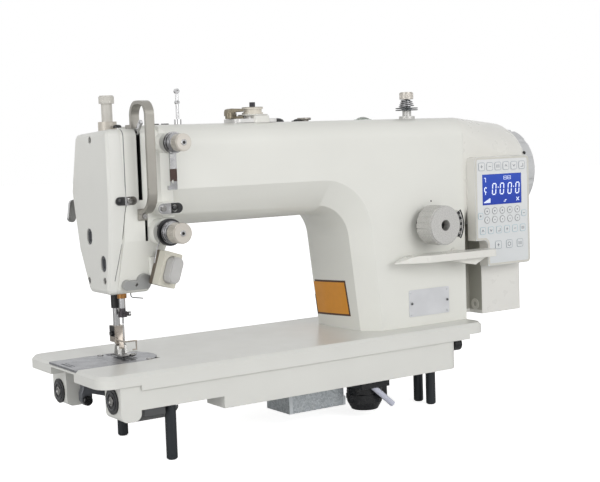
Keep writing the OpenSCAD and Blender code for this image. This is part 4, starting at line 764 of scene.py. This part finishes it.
def smooth_path(points, steps=6):
    """Catmull-Rom line through 3-D points."""
    def between(a, b, c, d, t):
        return 0.5 * (2 * b + (c - a) * t + (2 * a - 5 * b + 4 * c - d) * t * t
                      + (3 * b - a - 3 * c + d) * t ** 3)
    ends = [points[0], *points, points[-1]]
    made = []
    for four in zip(ends, ends[1:], ends[2:], ends[3:]):
        made += [tuple(between(*axis, k / steps) for axis in zip(*four)) for k in range(steps)]
    return made + [tuple(points[-1])]


# ---------- control panel ----------
PRINT = 0.12                        # thickness of a printed mark
PANEL_LOW, PANEL_HIGH = span("control_panel")
KEY_RISE = 0.6                      # the keys' rise over the membrane
PANEL_FACE = Face("front", PANEL_LOW.x, PANEL_LOW.y + KEY_RISE, PANEL_LOW.z)
LCD_FACE = Face("front", *span("panel_display")[0])
# name and finish of each row of keys, then a, b, size and corner radius of its keys
KEY_ROWS = (
    ("top", KEY_LINE, [(10 + 12.5 * i, 114, 9, 1.8) for i in range(6)]),
    ("round", KEY_DARK, [(17 + 11.8 * i, 63 - 10 * j, 7.5, 3.7) for j in range(2) for i in range(5)]),
    ("side", KEY_TEAL, [(a, 58, 7, 1.8) for a in (7, 74.6)]),
    ("low", KEY_TEAL, [(10 + 12.5 * i, 41, 8, 1.8) for i in range(6)]),
    ("last", KEY_LINE, [(33.5 + 17 * i, 23.5, 9, 1.8) for i in range(3)]),
)
NOTCH = (17.5, 30.0)                # width and height of the notch over the reverse lever
SEGMENTS = (((0, 2), (1, 2)), ((1, 2), (1, 1)), ((1, 1), (1, 0)),      # ends of the bars of a zero,
            ((0, 0), (1, 0)), ((0, 0), (0, 1)), ((0, 1), (0, 2)))      # in widths and half heights


def lcd_digit(build, a, b, w, h):
    """A zero in separate bars, leaning a little."""
    lean, gap = 0.09, 0.55
    for start, end in SEGMENTS:
        ends = []
        for (x, y), other in ((start, end), (end, start)):
            px = a + x * w + (other[0] - x) * gap
            py = b + y * h / 2 + (other[1] - y) * gap
            ends.append((px + lean * (py - b), py))
        build.ribbon(LCD_FACE, ends, 1.3, PRINT)


def make_display():
    """Four zeros with dots, and plain signs round them."""
    marks = Build()
    for i in range(4):
        lcd_digit(marks, 15.5 + 12.1 * i, 11.8, 5.2, 12.2)
    for a in (24.9, 49.1):
        marks.plate(LCD_FACE, disc(a, 19.6, 0.7, 12), PRINT)
    # two small framed signs above the digits
    for a in (33.6, 39.8):
        marks.ribbon(LCD_FACE, round_rect(a, 28.4, 4.8, 3.6, 0.3, 2), 0.45, PRINT, closed=True)
        marks.ribbon(LCD_FACE, [(a + 0.6, 30.2), (a + 4.2, 30.2)], 0.45, PRINT)
    # rising bars, then the other strokes from left to right
    strokes = [(1.3, [(3.2 + 1.7 * i, 2.4), (3.2 + 1.7 * i, 3.6 + 0.8 * i)]) for i in range(6)]
    strokes += [
        (1.1, [(7.2, 19.2), (5.4, 20.2), (3.8, 18.8), (3.8, 16.2), (5.0, 14.8), (6.6, 15.0)]),
        (0.9, [(5.0, 14.8), (5.2, 11.8)]),
        (0.7, [(3.4, 30.8), (5.6, 30.8), (5.6, 26)]),
        (0.7, [(33, 3), (35.4, 3), (35.4, 4.8), (37.6, 4.8)]),
        (0.8, [(53, 3), (57.4, 7)]), (0.8, [(53, 7), (57.4, 3)]),
    ]
    for width, path in strokes:
        marks.ribbon(LCD_FACE, path, width, PRINT)
    marks.done("lcd_marks", "frame", LCD_WHITE, "panel_display")


def key_sign(build, a, b, size, kind):
    """A small plain sign on a key."""
    s = size * 0.2
    shapes = (
        [[(a - s, b), (a + s, b)], [(a, b - s), (a, b + s)]],
        [[(a - s, b), (a + s, b)]],
        [[(a - s, b - s), (a - s, b + s)], [(a, b + s), (a, b - s)], [(a + s, b - s), (a + s, b + s)]],
        [[(a - s, b - 0.6 * s), (a, b + 0.7 * s), (a + s, b - 0.6 * s)]],
        [[(a - s, b + 0.6 * s), (a, b - 0.7 * s), (a + s, b + 0.6 * s)]],
        [[(a - s, b - s), (a + s, b - s), (a + s, b + s)]],
    )
    for path in shapes[kind % len(shapes)]:
        build.ribbon(PANEL_FACE, path, 0.55, PRINT, KEY_RISE)


def make_keys():
    """Printed edge of each key with its sign: dots on the round keys, a ring on the last row's middle one."""
    signs = Build()
    for row, (name, finish, keys) in enumerate(KEY_ROWS):
        rims = Build()
        for i, (a, b, size, corner) in enumerate(keys):
            rim = round_rect(a - size / 2, b - size / 2, size, size, corner)
            rims.ribbon(PANEL_FACE, rim, 0.45, PRINT, KEY_RISE - 0.08, closed=True)
            if name == "round":
                signs.plate(PANEL_FACE, disc(a, b, 0.9 if i < 5 else 0.6, 12), PRINT, KEY_RISE)
            elif name == "last" and i == 1:
                signs.ribbon(PANEL_FACE, disc(a, b, size * 0.24, 20), 0.5, PRINT, KEY_RISE, closed=True)
            else:
                key_sign(signs, a, b, size, 3 * row + i)
        rims.done("key_rims_" + name, "frame", finish, "control_panel")
    signs.done("key_signs", "frame", KEY_MARK, "control_panel")


def make_rim():
    """Ivory rim round the membrane, which leaves out the notch."""
    width, height = PANEL_HIGH.x - PANEL_LOW.x, PANEL_HIGH.z - PANEL_LOW.z
    n, m = NOTCH
    path = [
        (n + 3.4, 1.6), (width - 5, 1.6), (width - 2.4, 2.4), (width - 1.6, 5), (width - 1.6, height - 5),
        (width - 2.4, height - 2.4), (width - 5, height - 1.6), (5, height - 1.6), (2.4, height - 2.4),
        (1.6, height - 5), (1.6, m + 3.2), (2.6, m + 1.8), (n - 2.6, m + 1.4), (n + 0.6, m - 1.2),
        (n + 1.6, m - 4), (n + 1.6, 3)]
    Build().ribbon(PANEL_FACE, path, 2.4, 0.35, closed=True).done(
        "panel_rim", "frame", IVORY, "control_panel")


make_display()
make_keys()
make_rim()


# ---------- label, scale and marks ----------
DIAL_LOW, DIAL_HIGH = span("stitch_dial")
DIAL = (DIAL_LOW + DIAL_HIGH) / 2
DIAL_R = (DIAL_HIGH.x - DIAL_LOW.x) / 2
SCALE_END = 34                      # the scale's reach to each side of the dial's level, in degrees
SCALE_R = DIAL_R + 3.1              # middle of the scale
LABEL_W, LABEL_H, LABEL_EDGE = 66, 40, 2.2


def make_label():
    """Plain amber label with a brown border, on the column's needle side."""
    face = Face("left", NEEDLE_X + 240, NEEDLE_Y + 39, 12, 3)      # its lower corner at the back
    layers = (("label_border", BROWN, 0, 0.15), ("label_field", AMBER, LABEL_EDGE, 0.25))
    for name, finish, edge, lift in layers:
        Build().sheet("arm", face, (edge, LABEL_W - edge), (edge, LABEL_H - edge), lift).done(
            name, "frame", finish, "arm")


def make_dial():
    """Black scale with white marks beside the dial, painted shade in its bore, and the washer behind it."""
    # painted shade: a black disc inside the bore
    Build().lathe((DIAL.x, DIAL_LOW.y + 9.9, DIAL.z), FRONTWARD, flat_end(5.8, 0.4)).done(
        "dial_bore", "stitch_dial", PAINTED_HOLE_SHADE, "stitch_dial")
    washer = [(0, 0), (14, 0), (14, 7), (12, 9), (0, 9)]
    Build().lathe((DIAL.x, ARM_FRONT + 3.9, DIAL.z), FRONTWARD, washer).done(
        "dial_washer", "frame", BLACK_RUBBER, "arm")
    face = Face("front", DIAL.x, DIAL_LOW.y + 3, DIAL.z)
    Build().ribbon(face, arc(SCALE_R + 0.6, -SCALE_END, SCALE_END), 7.4, PRINT).done(
        "dial_scale", "frame", BLACK_PLASTIC, "arm")
    marks = Build()
    lines = [arc(DIAL_R + 5.2, 2 - SCALE_END, SCALE_END - 2, 16), arc(DIAL_R + 0.8, 19, 31, 6)]
    for angle in (-22, -7, 8, 23):
        t = math.radians(angle)
        a, b = SCALE_R * math.cos(t), SCALE_R * math.sin(t)
        lines += [[(a + side, b - 1.6), (a + side, b + 1.6)] for side in (-0.9, 1.1)]
    for line in lines:
        marks.ribbon(face, line, 0.5, 0.1, 0.08)
    marks.done("scale_marks", "frame", WHITE_PRINT, "arm")


def make_marks():
    """Painted shade in the hole above the dial, rivets of the nameplate, painted shade in the hole in the
    motor cover, and the lock in the box's channel with painted shade in its socket.
    """
    # painted shade: a black disc stands for the oil hole
    Build().plate(Face("front", DIAL.x + 8.5, ARM_FRONT, DIAL.z + 25.5), disc(0, 0, 1.0, 16), 0.1).done(
        "oil_dot", "frame", PAINTED_HOLE_SHADE, "arm")
    low, high = span("nameplate")
    rivets = Build()
    for x in (low.x + 3.6, high.x - 3.2):
        rivets.lathe((x, low.y + 0.1, low.z + 15), FRONTWARD,
                     [(0, 0), (1.5, 0), (1.4, 0.4), (0.7, 0.8), (0, 0.9)], 20)
    rivets.done("plate_rivets", "frame", DARK_STEEL, "nameplate")
    low, high = span("motor_cover")
    axis_y, t = middle("main_shaft").y, math.radians(21.8)
    out = Vector((0, -math.cos(t), math.sin(t)))
    place = Vector((high.x - 3.2, axis_y, SHAFT_Z)) + out * (high.y - low.y) / 2
    # painted shade: a black disc stands for the screw hole in the cover
    Build().lathe(place, out, [(0, -0.5), (2.1, -0.5), (2.1, 0.15), (0, 0.15)], 24).done(
        "cover_hole", "frame", PAINTED_HOLE_SHADE, "motor_cover")
    low = span("control_box")[0]
    face = Face("left", low.x + CHANNEL_W, low.y + 12, low.z + 10.5)
    Build().ribbon(face, disc(0, 0, 4.6, 28), 3.6, 1.6, closed=True).done(
        "lock_ring", "frame", IVORY, "control_box")
    # painted shade: a black hexagon stands for the lock's socket
    Build().plate(face, disc(0, 0, 3.4, 6), 0.3).done("lock_socket", "frame", PAINTED_HOLE_SHADE, "control_box")


make_label()
make_dial()
make_marks()


# ---------- thread fittings ----------
def cone_spring(name, centre, axis, radii, length, wire, slot):
    """Coil that narrows along its axis from the first of two radii to the second."""
    turns, steps = 3.5, 18
    axis, across, other = axes_from(axis)
    n = int(turns * steps)
    path = []
    for i in range(n + 1):
        t = 2 * math.pi * i / steps
        r = radii[0] + (radii[1] - radii[0]) * i / n
        path.append(Vector(centre) + axis * length * i / n + (across * math.cos(t) + other * math.sin(t)) * r)
    Build().tube(path, wire).done(name, "frame", STEEL, slot)


def make_springs():
    """Springs that press on the discs of the three tensions."""
    nut = middle("tension_nut")
    cone_spring("tension_coil", (nut.x, 17, nut.z), FRONTWARD, (10.4, 7.2), 6.6, 0.8, "tension_unit")
    nut = middle("pretension_nut")
    cone_spring("pretension_coil", (nut.x, 17, nut.z), FRONTWARD, (9.0, 6.6), 6.4, 0.7, "pretension_unit")
    nut = middle("winder_nut")
    cone_spring("winder_coil", (nut.x, nut.y, ARM_TOP + 13.4), UPWARD, (8.4, 5.6), 7.4, 0.8, "winder_tension")


def make_nut_centres():
    """Chromed screw end in each thumb nut, with painted shade in its recess."""
    for node in ("tension_nut", "pretension_nut"):
        centre, front = middle(node), span(node)[0].y
        Build().lathe((centre.x, front + 0.6, centre.z), FRONTWARD,
                      [(0, 0), (3.0, 0), (3.0, 0.8), (2.6, 1.2), (0, 1.2)]).done(
            node + "_screw", node, CHROME, node)
        # painted shade: a black disc in the nut's recess
        Build().lathe((centre.x, front - 0.4, centre.z), FRONTWARD, flat_end(1.5, 0.3)).done(
            node + "_recess", node, PAINTED_HOLE_SHADE, node)


def make_guide_caps():
    """Black ends of the two guides and the wire that leads the thread to the needle."""
    high = span("thread_guides")[1]
    caps = Build()
    caps.lathe((NEEDLE_X - 20.5, high.y - 0.6, SHAFT_Z - 7), FRONTWARD,
               [(0, 0), (2.6, 0), (2.4, 1.6), (0, 2.2)], 24)
    caps.lathe((high.x - 8.4, ARM_FRONT - 0.9, SHAFT_Z - 16), FRONTWARD,
               [(0, 0), (2.7, 0), (2.5, 1.8), (0, 2.4)], 24)
    caps.done("guide_caps", "frame", BLACK_PLASTIC, "thread_guides")
    z = span("head_guard")[0].z - 4
    bends = ((10, 0, 0), (10, 0, -6), (11.4, 0, -8.2), (15, 0, -9), (24, 1, -10.6))
    Build().tube(smooth_path([(NEEDLE_X + a, NEEDLE_Y + b, z + c) for a, b, c in bends]), 0.55).done(
        "thread_wire", "frame", DARK_STEEL, "bushes")


def make_seam():
    """Dark joint between the face plate and the head, where it runs down to the needle bar."""
    surfaces = [surface_of("arm"), surface_of("face_plate")]
    face = Face("front", 0, HEAD_FRONT - 8, 0)
    path = []
    # places on the joint: x, and the distance below the shaft
    for x, down in ((53.8, 12), (53.1, 16), (51.9, 27), (50.4, 39), (48.4, 54), (46.2, 67), (44.0, 79),
                    (43.2, 84)):
        start = face.point(x, SHAFT_Z - down)
        hits = [surface.ray_cast(start, -face.out, 40 * MM)[0] for surface in surfaces]
        hits = [hit for hit in hits if hit]
        if hits:
            path.append((min(hits, key=lambda hit: hit.y) - ORIGIN) / MM)
    Build().tube(path, 0.3, 8).done("head_seam", "frame", DARK_STEEL, "arm")


make_seam()
make_springs()
make_nut_centres()
make_guide_caps()


# ---------- top of the arm ----------
LATCH_END = 22.0                    # reach of the latch over the winder's disc


def make_winder():
    """Disc under the bobbin wheel, the white block beside it and the latch on the lever."""
    spindle = middle("winder_spindle")
    Build().lathe((spindle.x, spindle.y, ARM_TOP + 7.2), UPWARD,
                  [(0, 0), (15, 0), (15.6, 0.5), (15.6, 0.9), (15, 1.3), (0, 1.3)]).done(
        "winder_disc", "frame", PLASTIC, "winder_base")
    face = Face("top", spindle.x - 7, spindle.y - 16, ARM_TOP - 0.5)
    Build().plate(face, round_rect(0, 0, 18, 9, 2), 7.6, edge=0.8).done(
        "winder_block", "frame", PLASTIC, "winder_base")
    low, high = span("winder_lever")
    outline = [(4, -3), (11, -3), (11, -0.4), (15, 0.6), (LATCH_END, 0.9), (LATCH_END + 0.3, 4), (8, 4.4),
               (5, 3.4), (4.2, 1.2)]
    Build().plate(Face("front", low.x, spindle.y + 4, high.z), outline, 9, edge=0.8).done(
        "winder_latch", "winder_lever", BRONZE, "winder_lever")


def make_caps():
    """Black domes and caps on the arm's top, and a flat button."""
    wheel_x = middle("winder_spindle").x
    domes = Build()
    for x, r, h in ((47, 7.8, 5.0), (72, 4.0, 3.6)):
        domes.lathe((wheel_x + x, NEEDLE_Y, ARM_TOP - 0.2), UPWARD,
                    [(0, 0), (r, 0), (r, 0.6), (0.8 * r, 0.62 * h), (0.45 * r, 0.9 * h), (0, h)], 32)
    domes.done("top_domes", "frame", BLACK_PLASTIC, "rubber_plugs")
    caps = Build()
    for x, y, r in ((2.5, -2, 4.2), (18.6, 0, 2.4), (45.5, 0, 2.6)):
        caps.lathe((NEEDLE_X + x, NEEDLE_Y + y, ARM_TOP - 1.5), UPWARD,
                   [(0, 0), (r, 0), (r, 1.8), (0.7 * r, 2.9), (0, 3.2)], 28)
    caps.done("head_caps", "frame", BLACK_PLASTIC, "rubber_plugs")
    Build().lathe((wheel_x + 82, NEEDLE_Y, ARM_TOP - 0.6), UPWARD,
                  [(0, 0), (5, 0), (5, 2.2), (7.4, 2.6), (7.8, 3.4), (7.4, 5), (0, 5.2)]).done(
        "top_button", "frame", CHAMPAGNE, "rubber_plugs")


make_winder()
make_caps()


# ---------- under the bed ----------
PLUG_LOW, PLUG_HIGH = span("bed_plugs")
BLOCK_W = 34                        # width of the bed's corner blocks, which hold the plugs
PLUGS = ((3 + BLOCK_W / 2, -27), (129 + BLOCK_W / 2, -36))      # y and z of the two plugs
SOCKET_X, SOCKET_Y = 329.5, 39      # axis of the cable socket's round part


def make_plug_faces():
    """Hub and raised ring of each corner plug."""
    hubs, rings = Build(), Build()
    for y, z in PLUGS:
        centre = (PLUG_LOW.x + 0.1, y, z)
        hubs.lathe(centre, NEEDLEWARD, [(0, 0), (4.6, 0), (4.4, 0.9), (3.2, 1.2), (2.6, 0.5), (0, 0.5)])
        hubs.plate(Face("left", PLUG_LOW.x, y, z, 25), pill(-7.4, 0, 3.4, 2), 0.3, -0.05)
        rings.lathe(centre, NEEDLEWARD, [(7, 0), (9.4, 0), (9.2, 0.5), (7.6, 0.8), (7, 0.4), (7, 0)])
    hubs.done("plug_hubs", "frame", NICKEL, "bed_plugs")
    rings.done("plug_rings", "frame", PLUG_GLOSS, "bed_plugs")


def make_end_casting():
    """Dark casting with a knob between the corner blocks."""
    y = PLUG_HIGH.y - BLOCK_W - 2
    outline = [(33, -13), (33, -31), (31, -36), (31, -44), (35, -49), (41, -48), (43, -42), (43, -38),
               (60, -43), (60, -34), (46, -27), (46, -13)]
    Build().plate(Face("front", 0, y, 0), outline, 7, edge=0.8).done("end_casting", "frame", END_CAST, "bed")
    Build().lathe((37, y - 6.5, -44), FRONTWARD, [(0, 0), (5, 0), (5, 3), (4.2, 4), (0, 4)], 32).done(
        "end_knob", "frame", BLACK_PLASTIC, "bed")


def make_box_details():
    """Bright folded strip and hooked end of the sheet-metal box, collar of the socket."""
    low, high = span("solenoid_box")
    folds = Build()
    folds.plate(Face("front", low.x, low.y, low.z), round_rect(0, 0, 4.2, 28, 0.6, 3), 0.5)
    hook = Face("front", high.x - 1, low.y, low.z)
    for b, height in ((0, 10), (20, 8)):
        folds.plate(hook, round_rect(0, b, 3, height, 0.8, 3), 0.5)
    folds.done("box_folds", "frame", FOLD_ZINC, "solenoid_box")
    Build().lathe((SOCKET_X, SOCKET_Y, span("cable_socket")[0].z + 10), UPWARD,
                  [(0, 0), (17.5, 0), (20.4, 2), (20.4, 7), (18, 9), (0, 9)], 10).done(
        "socket_collar", "frame", BLACK_PLASTIC, "cable_socket")


make_plug_faces()
make_end_casting()
make_box_details()


# ---------- room and light ----------
WHITE = (1, 1, 1, 1)
LIGHTS = (                          # name, place, size, watts
    ("key", (0.2, -2.2, 0.9), 1.2, 18.6),
    ("fill", (-2.0, -0.6, 0.6), 1.2, 11),
    ("top", (-0.3, -0.2, 1.9), 1.4, 1),
)


def light_source(tree, kind, strength):
    """White Emission or Background node."""
    made = tree.nodes.new(kind)
    put(made, Color=WHITE, Strength=strength)
    return made


def choose(tree, fac, first, second, target):
    """Sends one of two shaders to a target, by fac."""
    pick = tree.nodes.new("ShaderNodeMixShader")
    for source, socket in ((fac, pick.inputs[0]), (first, pick.inputs[1]), (second, pick.inputs[2])):
        tree.links.new(source, socket)
    tree.links.new(pick.outputs[0], target.inputs["Surface"])


def make_stage():
    """Pale round floor, which glows to the camera alone."""
    bpy.ops.mesh.primitive_circle_add(vertices=96, radius=9, fill_type="NGON", location=(0, 0, FLOOR))
    floor = bpy.context.object
    floor.name = "floor"
    made = Finish("floor", srgb(236, 236, 236), 0.8, Specular_IOR_Level=0.1)
    tree, shade = made.tree, made.shader.outputs[0]
    both = made.node("ShaderNodeAddShader")
    made.link(shade, both.inputs[0])
    made.link(light_source(tree, "ShaderNodeEmission", 0.8).outputs[0], both.inputs[1])
    seen = made.node("ShaderNodeLightPath").outputs["Is Camera Ray"]
    choose(tree, seen, shade, both.outputs[0], tree.nodes["Material Output"])
    floor.data.materials.append(made.material)


def make_world():
    """White to the camera and in reflections; otherwise a grey light, dimmer from above."""
    world = bpy.data.worlds.new("world")
    bpy.context.scene.world = world
    world.use_nodes = True
    tree = world.node_tree
    ambient = tree.nodes["Background"]
    put(ambient, Color=WHITE)
    place = tree.nodes.new("ShaderNodeTexCoord")
    split = tree.nodes.new("ShaderNodeSeparateXYZ")
    fall = tree.nodes.new("ShaderNodeMapRange")
    put(fall, From_Min=0.1, From_Max=0.9, To_Min=0.74, To_Max=0.32)
    tree.links.new(place.outputs["Generated"], split.inputs["Vector"])
    tree.links.new(split.outputs["Z"], fall.inputs["Value"])
    tree.links.new(fall.outputs["Result"], ambient.inputs["Strength"])
    path = tree.nodes.new("ShaderNodeLightPath")
    total = path.outputs["Is Camera Ray"]
    for name in ("Is Glossy Ray", "Is Transmission Ray"):
        most = tree.nodes.new("ShaderNodeMath")
        most.operation = "MAXIMUM"
        tree.links.new(total, most.inputs[0])
        tree.links.new(path.outputs[name], most.inputs[1])
        total = most.outputs[0]
    white = light_source(tree, "ShaderNodeBackground", 1.0)
    choose(tree, total, ambient.outputs[0], white.outputs[0], tree.nodes["World Output"])


def soft_lamp(name, place, size, energy):
    data = bpy.data.lights.new(name, "AREA")
    data.shape, data.size, data.energy = "SQUARE", size, energy
    lamp = bpy.data.objects.new(name, data)
    bpy.context.scene.collection.objects.link(lamp)
    lamp.location = place
    lamp.rotation_mode = "QUATERNION"
    lamp.rotation_quaternion = (TARGET - Vector(place)).to_track_quat("-Z", "Y")


make_stage()
make_world()
for light in LIGHTS:
    soft_lamp(*light)
bpy.context.scene.view_settings.view_transform = "Standard"
